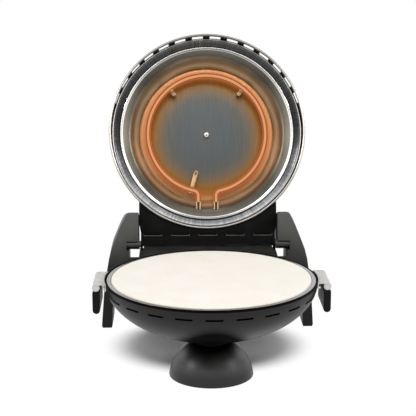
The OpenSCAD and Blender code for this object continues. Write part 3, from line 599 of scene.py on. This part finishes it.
footPaint = paintFinish("footPaint", (0.017, 0.017, 0.016), (0.075, 0.073, 0.07), rough=0.40, gloss=0.4)
paintLightAndShade(footPaint, gloss=0.75, levelOf=footLevel)
lidPaint = paintFinish("lidPaint", (0.016, 0.0155, 0.0145), (0.065, 0.063, 0.06), rough=0.42, gloss=0.35)
bowlPaint = paintFinish("bowlPaint", (0.014, 0.0135, 0.0127), (0.065, 0.063, 0.06), rough=0.42, gloss=0.4)
paintLightAndShade(bowlPaint, gloss=0.25, levelOf=bowlLevel)
armPaint = paintFinish("armSkin", (0.040, 0.040, 0.036), (0.088, 0.088, 0.0792), rough=0.5, gloss=0.4,
                       grain=1100.0, depth=0.00004, dust=0.03)
paintLightAndShade(armPaint, gloss=0.4, levelOf=armLevel)
sheetPaint = paintFinish("sheetPaint", (0.0028, 0.0027, 0.0025), (0.03, 0.03, 0.028), rough=0.58,
                         gloss=0.055)
lipPaint = paintFinish("lipPaint", (0.10, 0.10, 0.095), (0.3, 0.3, 0.28), rough=0.45, gloss=0.5)
housingPaint = paintFinish("housingPaint", (0.008, 0.008, 0.008), (0.05, 0.05, 0.045), rough=0.55,
                           gloss=0.25, grain=1400.0)
gripPlastic = paintFinish("gripPlastic", (0.0035, 0.0035, 0.0032), (0.03, 0.03, 0.028), rough=0.42,
                          gloss=0.14, grain=1500.0, depth=0.00004, dust=0.03)
softRubber = paintFinish("softRubber", (0.012, 0.012, 0.012), (0.02, 0.02, 0.02), rough=0.8, gloss=0.25,
                         grain=500.0, depth=0.00006, dust=0.1)
trimSteel, sleeveSteel, nutSteel = trimFinish(), sleeveMetal(), nutMetal()
traySteel = spunSteel("traySteel", (0.44, 0.44, 0.425), rough=0.26, contrast=0.25)
reflectorSteel = spunSteel("reflectorSteel", (0.55, 0.54, 0.52), rough=0.35, contrast=0.2)
paintLightAndShade(reflectorSteel, gloss=0.5, levelOf=reflectorLevel)
tabSteel = drawnSteel("tabSteel", (0.66, 0.65, 0.63), rough=0.33, stretch=(1, 0.05, 0.5), contrast=0.22,
                      scale=900.0)
platedSteel = drawnSteel("platedSteel", (0.72, 0.70, 0.66), rough=0.25, stretch=(1, 1, 1), contrast=0.2,
                         scale=500.0)
clipSteel = edgedMetal("clipSteel", (0.30, 0.185, 0.095), (0.90, 0.68, 0.42))
brassBush = drawnSteel("brassBush", (0.72, 0.50, 0.22), rough=0.28, stretch=(1, 0.1, 0.1), contrast=0.2,
                       scale=500.0)
liningSteel, tubeGlow, stoneFinish = linedSteel(), glowingTube(), firedStone()
lensFinish, woolFinish = lampLens(), feltedWool()
ceramicFinish = paintFinish("ceramicFinish", (0.72, 0.69, 0.62), (0.8, 0.78, 0.7), rough=0.6, gloss=0.4,
                            grain=700.0)
print("finishes made:", len(bpy.data.materials))


# making meshes

def turned(profile, turns, loop=False):
    # a profile of (radius, height) in mm turned about Z
    work = bmesh.new()
    angles = [math.tau * i / turns for i in range(turns)]
    rows = []
    for radius, height in profile:
        if radius < 0.001:
            rows.append([work.verts.new((0, 0, height * mm))])
            continue
        reach = radius * mm
        rows.append([work.verts.new((reach * math.cos(a), reach * math.sin(a),
                                     height * mm)) for a in angles])
    for one, two in zip(rows, rows[1:] + rows[:1] if loop else rows[1:]):
        for i in range(turns):
            around = [one[i % len(one)], one[(i + 1) % len(one)], two[(i + 1) % len(two)],
                      two[i % len(two)]]
            corners = list(dict.fromkeys(around))
            if len(corners) > 2:
                work.faces.new(corners)
    bmesh.ops.recalc_face_normals(work, faces=work.faces)
    mesh = bpy.data.meshes.new("turned")
    work.to_mesh(mesh)
    work.free()
    return mesh


def arcPoints(cx, cy, rx, ry, start, end, steps):
    angles = [math.radians(start + (end - start) * i / steps) for i in range(steps + 1)]
    return [(cx + rx * math.cos(a), cy + ry * math.sin(a)) for a in angles]


def rounded(points, steps=5):
    # (x, y, radius) corners become short curves
    out = []
    for i, point in enumerate(points):
        if len(point) < 3 or i in (0, len(points) - 1):
            out.append(point[:2])
            continue
        here, before, after = (Vector(p[:2]) for p in (point, points[i - 1], points[i + 1]))
        back, on = before - here, after - here
        reach = min(point[2], back.length * 0.49, on.length * 0.49)
        one, two = here + back.normalized() * reach, here + on.normalized() * reach
        for k in range(steps + 1):
            t = k / steps
            out.append(tuple(one * (1 - t) ** 2 + here * (2 * t * (1 - t)) + two * t ** 2))
    return out


def dress(mesh, finish):
    mesh.materials.clear()
    mesh.materials.append(finish)


def addPiece(name, mesh, finish, body, slotName, *nodes, sharp=35):
    piece = linked(name, mesh)
    dress(mesh, finish)
    mesh.shade_smooth()
    mesh.set_sharp_from_angle(angle=math.radians(sharp))
    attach(piece, body)
    if nodes:
        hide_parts(*nodes)


def evaluated(piece):
    graph = bpy.context.evaluated_depsgraph_get()
    return bpy.data.meshes.new_from_object(piece.evaluated_get(graph), depsgraph=graph)


easing = {"weld": 0.005, "flat": 0.6, "sharp": 30, "wide": 0.9}


def softened(node, name, finish, slotName, width):
    # a copy of a CAD node with its corners eased, as a press or a mould leaves them
    work = bmesh.new()
    work.from_mesh(frame["nodes"][node].data)
    bmesh.ops.remove_doubles(work, verts=work.verts, dist=easing["weld"] * mm)
    flat = math.radians(easing["flat"])
    bmesh.ops.dissolve_limit(work, angle_limit=flat, verts=work.verts, edges=work.edges)
    mesh = bpy.data.meshes.new(name)
    work.to_mesh(mesh)
    work.free()
    rough = linked(name + "Rough", mesh)
    ease = rough.modifiers.new("ease", "BEVEL")
    ease.width = width * mm
    ease.segments = 3 if width > easing["wide"] else 2
    ease.limit_method = "ANGLE"
    ease.angle_limit = math.radians(easing["sharp"])
    made = evaluated(rough)
    bpy.data.objects.remove(rough)
    addPiece(name, made, finish, frame["nodes"][node]["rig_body"], slotName, node)


# Geometry Nodes: trees for what repeats

def newTree(name, inputs):
    tree = bpy.data.node_groups.new(name, "GeometryNodeTree")
    addInputs(tree, [("Geometry", "Geometry", None), *inputs, ("Material", "Material", None)])
    tree.interface.new_socket("Geometry", in_out="OUTPUT", socket_type="NodeSocketGeometry")
    return tree, tree.nodes.new("NodeGroupInput").outputs


def endTree(tree, given, geometry):
    real = addNode(tree, "GeometryNodeRealizeInstances", Geometry=geometry)
    dressed = addNode(tree, "GeometryNodeSetMaterial", Geometry=real.outputs[0], Material=given["Material"])
    tree.links.new(dressed.outputs[0], tree.nodes.new("NodeGroupOutput").inputs[0])
    return tree


def grown(mesh, tree, finish, **values):
    # runs a tree on a mesh and returns the plain result
    holder = linked("holder", mesh)
    made = holder.modifiers.new("grow", "NODES")
    made.node_group = tree
    values["Material"] = finish
    for item in tree.interface.items_tree:
        key = item.name.replace(" ", "")
        if item.in_out == "INPUT" and key in values:
            made[item.identifier] = values[key]
    result = evaluated(holder)
    bpy.data.objects.remove(holder)
    return result


def buildRingSlots():
    # cuts a ring of straight slots; Start turns the ring, Skip leaves a gap round the back
    tree, given = newTree("ringSlots", [("Count", "Int", 20), ("Length", "Float", 0.03),
                                        ("Height", "Float", 0.003), ("Reach", "Float", 0.04),
                                        ("Radius", "Float", 0.165), ("Level", "Float", 0.14),
                                        ("Start", "Float", 0.0), ("Skip", "Float", 0.0)])
    ring = addNode(tree, "GeometryNodeMeshCircle", Vertices=given["Count"], Radius=given["Radius"])
    index = addNode(tree, "GeometryNodeInputIndex").outputs[0]
    share = doMath(tree, "DIVIDE", index, given["Count"])
    angle = doMath(tree, "ADD", product(tree, share, math.tau), given["Start"])
    east, north = doMath(tree, "COSINE", angle), doMath(tree, "SINE", angle)
    flat = addNode(tree, "ShaderNodeCombineXYZ", i0=product(tree, east, given["Radius"]),
                   i1=product(tree, north, given["Radius"]), i2=given["Level"])
    spot = addNode(tree, "GeometryNodeSetPosition", Geometry=ring.outputs[0], Position=flat.outputs[0])
    behind = doMath(tree, "LESS_THAN", doMath(tree, "ARCCOSINE", north), given["Skip"])
    turn = addNode(tree, "ShaderNodeCombineXYZ", i2=angle)
    marked = addNode(tree, "GeometryNodeStoreNamedAttribute", {"data_type": "FLOAT_VECTOR"},
                     Geometry=spot.outputs[0], Name="turn", Value=turn.outputs[0])
    gone = addNode(tree, "GeometryNodeDeleteGeometry", {"domain": "POINT"}, Geometry=marked.outputs[0],
                   Selection=behind)
    size = addNode(tree, "ShaderNodeCombineXYZ", i0=given["Reach"], i1=given["Length"], i2=given["Height"])
    cutter = addNode(tree, "GeometryNodeMeshCube", Size=size.outputs[0])
    angles = addNode(tree, "GeometryNodeInputNamedAttribute", {"data_type": "FLOAT_VECTOR"}, Name="turn")
    placed = addNode(tree, "GeometryNodeInstanceOnPoints", Points=gone.outputs[0],
                     Instance=cutter.outputs[0],
                     Rotation=angles.outputs[0])
    solid = addNode(tree, "GeometryNodeRealizeInstances", Geometry=placed.outputs[0])
    cut = addNode(tree, "GeometryNodeMeshBoolean", {"operation": "DIFFERENCE", "solver": "EXACT"})
    tree.links.new(given["Geometry"], cut.inputs[0])
    tree.links.new(solid.outputs[0], cut.inputs[1])
    return endTree(tree, given, cut.outputs[0])


def buildTubeRun():
    # a round tube along a line of points
    tree, given = newTree("tubeRun", [("Radius", "Float", 0.004), ("Sides", "Int", 24)])
    line = addNode(tree, "GeometryNodeMeshToCurve", Mesh=given["Geometry"])
    ring = addNode(tree, "GeometryNodeCurvePrimitiveCircle", Resolution=given["Sides"],
                   Radius=given["Radius"])
    tube = addNode(tree, "GeometryNodeCurveToMesh", Curve=line.outputs[0], Profile_Curve=ring.outputs[0],
                   Fill_Caps=True)
    return endTree(tree, given, tube.outputs[0])


def buildLipRow():
    # a bent wire-thin lip, made a round edge and set in a row along X
    tree, given = newTree("lipRow", [("Count", "Int", 5), ("Pitch", "Float", 0.047),
                                     ("Radius", "Float", 0.0004)])
    line = addNode(tree, "GeometryNodeMeshToCurve", Mesh=given["Geometry"])
    ring = addNode(tree, "GeometryNodeCurvePrimitiveCircle", Resolution=8, Radius=given["Radius"])
    lip = addNode(tree, "GeometryNodeCurveToMesh", Curve=line.outputs[0], Profile_Curve=ring.outputs[0],
                  Fill_Caps=True)
    gaps = doMath(tree, "SUBTRACT", given["Count"], 1.0)
    start = addNode(tree, "ShaderNodeCombineXYZ", i0=product(tree, gaps, given["Pitch"], -0.5))
    step = addNode(tree, "ShaderNodeCombineXYZ", i0=given["Pitch"])
    row = addNode(tree, "GeometryNodeMeshLine", {"mode": "OFFSET"}, Count=given["Count"],
                  Start_Location=start.outputs[0], Offset=step.outputs[0])
    placed = addNode(tree, "GeometryNodeInstanceOnPoints", Points=row.outputs[0], Instance=lip.outputs[0])
    return endTree(tree, given, placed.outputs[0])


ringSlots, tubeRun, lipRow = buildRingSlots(), buildTubeRun(), buildLipRow()


def slotted(mesh, finish, form, level, start, skip):
    return grown(mesh, ringSlots, finish, Count=form["slots"], Length=form["slotLength"] * mm,
                 Height=form["slotHeight"] * mm, Reach=form["slotReach"] * mm, Radius=form["radius"] * mm,
                 Level=level * mm, Start=start, Skip=skip)


def lineMesh(points):
    mesh = bpy.data.meshes.new("line")
    mesh.from_pydata([Vector(p) * mm for p in points], [(i, i + 1) for i in range(len(points) - 1)], [])
    return mesh


# bowl, tray, stone and foot

bowl = {"radius": 165, "depth": 91, "rim": 157, "wall": 1.5, "bead": 1.5, "ledgeRadius": 158,
        "ledgeDrop": 2.5, "turns": 240, "slots": 23, "slotLength": 26, "slotHeight": 3.5, "slotDrop": 16,
        "slotReach": 40}


def buildBowl():
    rim, radius, bead, ledge = bowl["rim"], bowl["radius"], bowl["bead"], bowl["rim"] - bowl["ledgeDrop"]
    profile = arcPoints(0, rim, radius, bowl["depth"], -90, -1, 72)
    profile += arcPoints(radius - bead, rim - bead, bead, bead, 0, 180, 12)
    profile += rounded([(radius - 2 * bead, rim - bead), (radius - 2 * bead, ledge, 0.3),
                        (bowl["ledgeRadius"], ledge, 0.3), (bowl["ledgeRadius"], ledge - 1.2)], 3)
    profile += arcPoints(0, rim, radius - bowl["wall"], bowl["depth"] - bowl["wall"], -4, -90, 60)
    mesh = slotted(turned(profile, bowl["turns"]), bowlPaint, bowl, rim - bowl["slotDrop"], -math.pi / 2,
                   0.0)
    addPiece("slottedBowl", mesh, bowlPaint, "base", "satin_paint", "bowl_shell", sharp=28)


tray = {"inner": 155.4, "outer": 161.7, "shelf": 144, "shelfWidth": 9, "wall": 1, "drop": 0.5}


def buildTray():
    low, high = tray["shelf"], bowl["rim"] - tray["drop"]
    inner, outer, wall = tray["inner"], tray["outer"], tray["wall"]
    shelf = inner - tray["shelfWidth"]
    profile = rounded([(shelf, low - wall), (inner + wall, low - wall, 1.4),
                       (inner + wall, high - wall, 0.5), (outer, high - wall, 0.2), (outer, high, 0.4),
                       (inner, high, 0.9), (inner, low, 0.8), (shelf, low, 0.3), (shelf, low - wall)])
    mesh = turned(profile[:-1], bowl["turns"], True)
    addPiece("stoneTray", mesh, traySteel, "base", "polished_steel", "stone_tray")


stoneDisc = {"radius": 155, "bottom": tray["shelf"], "thick": 14, "edge": 2.2, "lowEdge": 1.32,
             "rings": (120, 80, 40)}


def buildStone():
    radius, low = stoneDisc["radius"], stoneDisc["bottom"]
    high, edge = low + stoneDisc["thick"], stoneDisc["edge"]
    profile = rounded([(0, low), (radius, low, stoneDisc["lowEdge"]), (radius, high, edge), (0, high)], 8)
    flat = [(r, profile[-1][1]) for r in stoneDisc["rings"]]
    mesh = turned(profile[:-1] + flat + profile[-1:], bowl["turns"])
    addPiece("bakingStone", mesh, stoneFinish, "stone", "stone", "baking_stone")


foot = {"ball": 66.85, "drop": -6.85, "low": 0.4, "top": 54, "wall": 3, "hole": 4.3, "turns": 192}


def buildFoot():
    ball, drop, wall, top, hole = foot["ball"], foot["drop"], foot["wall"], foot["top"], foot["hole"]

    def slopeAt(height, radius):
        return math.degrees(math.asin((height - drop) / radius))

    outer = arcPoints(0, drop, ball, ball, slopeAt(foot["low"], ball), slopeAt(top, ball), 48)
    thin = ball - wall
    inner = arcPoints(0, drop, thin, thin, slopeAt(top - wall, thin), slopeAt(foot["low"], thin), 30)
    edge = rounded([(hole, top), (*outer[-1], 0.8), outer[-2]], 4)
    profile = outer[:-2] + edge[::-1][:-1] + [(hole, top), (hole, top - wall)] + inner
    addPiece("footDome", turned(profile, foot["turns"], True), footPaint, "base", "satin_paint",
             "foot_dome")


buildBowl()
buildTray()
buildStone()
buildFoot()
print("bowl, tray, stone and foot made")

# lid

lidForm = {"lip": lidHinge["lip"], "radius": 168.2, "wall": 1.4, "band": 24, "dome": 66, "trim": 2,
           "trimRadius": 167.5,
           "trimGap": 0.05, "trimSides": 24, "turns": 272, "slots": 34, "slotLength": 19, "slotHeight": 20,
           "slotReach": 30,
           "slotLevel": 178.5, "slotlessBack": 110}


def buildLidShell():
    lip, radius, wall = lidForm["lip"], lidForm["radius"], lidForm["wall"]
    low, shoulder = lip + 2 * lidForm["trim"] + lidForm["trimGap"], lip + lidForm["band"]
    profile = [(radius - wall, low), (radius, low)]
    profile += [(radius, low + (shoulder - low) * i / 6) for i in range(1, 6)]
    profile += arcPoints(0, shoulder, radius, lidForm["dome"], 0, 90, 60)
    profile += arcPoints(0, shoulder, radius - wall, lidForm["dome"] - wall, 90, 0, 50)
    start = math.pi / 2 + math.pi / lidForm["slots"]
    mesh = slotted(turned(profile, lidForm["turns"], True), lidPaint, lidForm, lidForm["slotLevel"], start,
                   math.radians(lidForm["slotlessBack"]))
    mesh.transform(swingOpen)
    addPiece("lidShell", mesh, lidPaint, "lid", "black_paint", "lid_shell", sharp=28)


def buildLidTrim():
    trim, sides = lidForm["trim"], lidForm["trimSides"]
    level = lidForm["lip"] + trim
    profile = arcPoints(lidForm["trimRadius"], level, trim, trim, 0, 360 - 360 / sides, sides - 1)
    mesh = turned(profile, lidForm["turns"], True)
    mesh.transform(swingOpen)
    addPiece("lidTrim", mesh, trimSteel, "lid", "polished_steel", "lid_trim_ring")


# the face as seen from below: radius, height above the lip and the round of the corner
lining = {"wall": 1.0, "hem": [(164.3, 21), (161.3, 21, 1.2), (152.7, 28, 0.6)], "bead": (150.3, 28.2, 1.9),
          "slope": [(148.3, 29), (133, 32.05, 6), (122, 57.5)],
          "step": [(122, 57.5), (119.4, 59.4, 1.4), (118.6, 62.2, 1.0), (115.5, 61.6, 1.5), (111, 62)],
          "ceiling": [(90, 62), (60, 62), (30, 62), (0, 62)]}


def buildLining():
    lip, (middle, level, roll) = lidForm["lip"], lining["bead"]
    face = rounded(lining["hem"], 4) + arcPoints(middle, level, roll, roll, -15, -165, 10)
    face += rounded(lining["slope"], 18) + rounded(lining["step"], 5)[1:] + lining["ceiling"]
    back = [(r, d + lining["wall"]) for r, d in reversed(face)]
    mesh = turned([(r, lip + d) for r, d in face + back], lidForm["turns"])
    work = bmesh.new()
    work.from_mesh(mesh)
    bmesh.ops.bridge_loops(work, edges=[e for e in work.edges if e.is_boundary])
    bmesh.ops.recalc_face_normals(work, faces=work.faces)
    work.to_mesh(mesh)
    work.free()
    mesh.transform(swingOpen)
    addPiece("lidLining", mesh, liningSteel, "lid", "polished_steel", "lid_liner", sharp=50)


heatTube = {"ring": 103, "depth": 38, "bend": 9, "legs": 15.5, "legEnd": 174.2, "tube": 4.75}
lowerTube = {"ring": 96, "level": 124, "legEnd": 167}


def tubeLine(ring, legEnd):
    # an open ring whose ends bend round to two straight legs
    side = heatTube["legs"] + heatTube["bend"]
    reach = math.sqrt((ring + heatTube["bend"]) ** 2 - side ** 2)
    gap = math.degrees(math.atan2(reach, side))
    half = arcPoints(0, 0, ring, ring, -90, gap, 84)
    half += arcPoints(side, reach, heatTube["bend"], heatTube["bend"], 180 + gap, 180, 10)[1:]
    half += [(heatTube["legs"], reach + (legEnd - reach) * i / 6) for i in range(1, 7)]
    return [(-x, y) for x, y in reversed(half)] + half[1:]


def buildTube(name, node, form, level, body, place):
    line = lineMesh([(x, y, level) for x, y in tubeLine(form["ring"], form["legEnd"])])
    mesh = grown(line, tubeRun, tubeGlow, Radius=heatTube["tube"] * mm, Sides=24)
    mesh.transform(place)
    addPiece(name, mesh, tubeGlow, body, "hot_tube", node)


buildLidShell()
buildLidTrim()
buildLining()
buildTube("upperTube", "upper_element", heatTube, lidForm["lip"] + heatTube["depth"], "lid", swingOpen)
buildTube("lowerTube", "lower_element", lowerTube, lowerTube["level"], "base", Matrix.Identity(4))
print("lid and heating tubes made")

# sheet and moulded pieces from the frame, with eased corners

# node, name of the piece, finish, slot and width of the eased corner in mm
easedPieces = [
    ("hinge_box", "hingeBox", sheetPaint, "black_paint", 0.35),
    ("hinge_box_cover", "hingeBoxCover", sheetPaint, "black_paint", 0.4),
    ("rear_housing", "rearHousing", housingPaint, "black_plastic", 1.0),
    ("rear_cover", "rearCover", housingPaint, "black_plastic", 0.5),
    ("left_arm", "leftArm", armPaint, "arm_plastic", 1.8),
    ("right_arm", "rightArm", armPaint, "arm_plastic", 1.8),
    ("left_handle_bracket", "leftTab", tabSteel, "brushed_steel", 0.25),
    ("right_handle_bracket", "rightTab", tabSteel, "brushed_steel", 0.25),
    ("mains_inlet", "mainsInlet", gripPlastic, "black_plastic", 0.4),
    ("element_clips", "tubeClips", clipSteel, "plated_steel", 0.2),
    ("centre_nut", "centreNut", nutSteel, "plated_steel", 0.3),
    ("thermostat_knob", "thermostatKnob", gripPlastic, "black_plastic", 0.5),
]
for node, name, finish, slotName, width in easedPieces:
    softened(node, name, finish, slotName, width)
print("eased pieces made:", len(easedPieces))

# an end of a lip bends in steps along it and forwards
louvre = {"count": 5, "pitch": 47.25, "length": 31.5, "back": 180.6, "floor": 162.6, "edge": 0.42,
          "ends": [(0, 2.2), (0.5, 0.4), (1.6, 0)]}


def buildLouvreLips():
    half, back, low = louvre["length"] / 2, louvre["back"], louvre["floor"]
    path = [(-half + along, back - bend, low) for along, bend in louvre["ends"]]
    path += [(-x, y, z) for x, y, z in reversed(path)]
    mesh = grown(lineMesh(path), lipRow, lipPaint, Count=louvre["count"], Pitch=louvre["pitch"] * mm,
                 Radius=louvre["edge"] * mm)
    mesh.transform(swingOpen)
    addPiece("louvreLips", mesh, lipPaint, "lid", "black_paint")


buildLouvreLips()

# nodes whose shape is right keep it and get their finish

nodeFinish = [
    (reflectorSteel, "base_liner"),
    (woolFinish, "base_insulation lid_insulation"),
    (platedSteel, "lower_element_clips lower_element_bushings limit_thermostat foot_bolt rear_cover_screws "
                  "arm_bolts left_hinge_pin right_hinge_pin thermostat left_handle_pin right_handle_pin "
                  "handle_rivets hinge_box_screws lid_handle_posts"),
    (softRubber, "foot_pad left_leg_pad right_leg_pad lid_stops"),
    (sheetPaint, "neck_collar"),
    (armPaint, "hinge_spacers"),
    (ceramicFinish, "terminal_block"),
    (lensFinish, "pilot_lamp"),
    (gripPlastic, "left_handle_grip right_handle_grip lid_handle"),
    (sleeveSteel, "upper_element_bushings"),
    (clipSteel, "element_clip_screws"),
    (brassBush, "hinge_bushes"),
]
dressed = 0
for finish, names in nodeFinish:
    for node in names.split():
        dress(frame["nodes"][node].data, finish)
        dressed += 1
print("nodes dressed:", dressed)

# studio

# half the floor, the oval of the soft shadow, and lamps with a place, a size and a power
studio = {"half": 3.0, "floorColour": 0.80, "worldLight": 0.22, "aim": (0, 0.05, 0.2),
          "shade": {"middle": (0.0, 0.135), "squeeze": 0.84, "near": 0.098, "far": 0.152},
          "lamps": [("key", (0.0, -1.0, 1.7), (1.5, 1.0), 17.5),
                    ("strip", (0.0, 0.42, 1.9), (3.4, 0.7), 10.0),
                    ("leftSide", (-1.5, -0.45, 1.3), (0.45, 0.45), 7.0),
                    ("rightSide", (1.5, -0.45, 1.3), (0.45, 0.45), 7.0)]}


def rayMask(tree):
    # 1 for what the eye, a mirror or a glass sees directly
    path = addNode(tree, "ShaderNodeLightPath").outputs
    seen = doMath(tree, "MAXIMUM", path["Is Camera Ray"], path["Is Glossy Ray"])
    return doMath(tree, "MAXIMUM", seen, path["Is Transmission Ray"])


def buildFloor():
    mesh = bpy.data.meshes.new("floor")
    half = studio["half"]
    corners = [(-half, -half, 0), (half, -half, 0), (half, half, 0), (-half, half, 0)]
    mesh.from_pydata(corners, [], [(0, 1, 2, 3)])
    floor = linked("floor", mesh)
    finish = bpy.data.materials.new("paleFloor")
    finish.use_nodes = True
    tree = finish.node_tree
    tree.nodes.remove(tree.nodes["Principled BSDF"])
    out = tree.nodes["Material Output"]
    matt = addNode(tree, "ShaderNodeBsdfDiffuse", Color=(studio["floorColour"],) * 3 + (1,))
    white = addNode(tree, "ShaderNodeEmission", Color=(1, 1, 1, 1), Strength=1.0)
    shade = studio["shade"]
    moved = vectorMath(tree, "SUBTRACT", objectPlace(tree), (*shade["middle"], 0))
    moved = vectorMath(tree, "MULTIPLY", moved, (shade["squeeze"], 1, 0))
    far = fade(tree, radiusOf(tree, moved), shade["near"], shade["far"])
    both = addNode(tree, "ShaderNodeMixShader", i0=product(tree, far, rayMask(tree)), i1=matt.outputs[0],
                   i2=white.outputs[0])
    tree.links.new(both.outputs[0], out.inputs["Surface"])
    mesh.materials.append(finish)


def buildWorld():
    world = bpy.data.worlds.new("studio")
    world.use_nodes = True
    scene.world = world
    tree = world.node_tree
    tree.nodes.clear()
    level = studio["worldLight"]
    soft = addNode(tree, "ShaderNodeBackground", Color=(level, level, level, 1), Strength=1.0)
    white = addNode(tree, "ShaderNodeBackground", Color=(1, 1, 1, 1), Strength=1.0)
    both = addNode(tree, "ShaderNodeMixShader", i0=rayMask(tree), i1=soft.outputs[0], i2=white.outputs[0])
    out = tree.nodes.new("ShaderNodeOutputWorld")
    tree.links.new(both.outputs[0], out.inputs["Surface"])


def buildLamps():
    for name, place, size, power in studio["lamps"]:
        lamp = bpy.data.lights.new(name, "AREA")
        lamp.shape, lamp.size, lamp.size_y, lamp.energy = "RECTANGLE", *size, power
        holder = linked(name, lamp)
        holder.location = place
        aim = Vector(studio["aim"]) - Vector(place)
        holder.rotation_euler = aim.to_track_quat("-Z", "Y").to_euler()


buildFloor()
buildWorld()
buildLamps()
print("studio made")
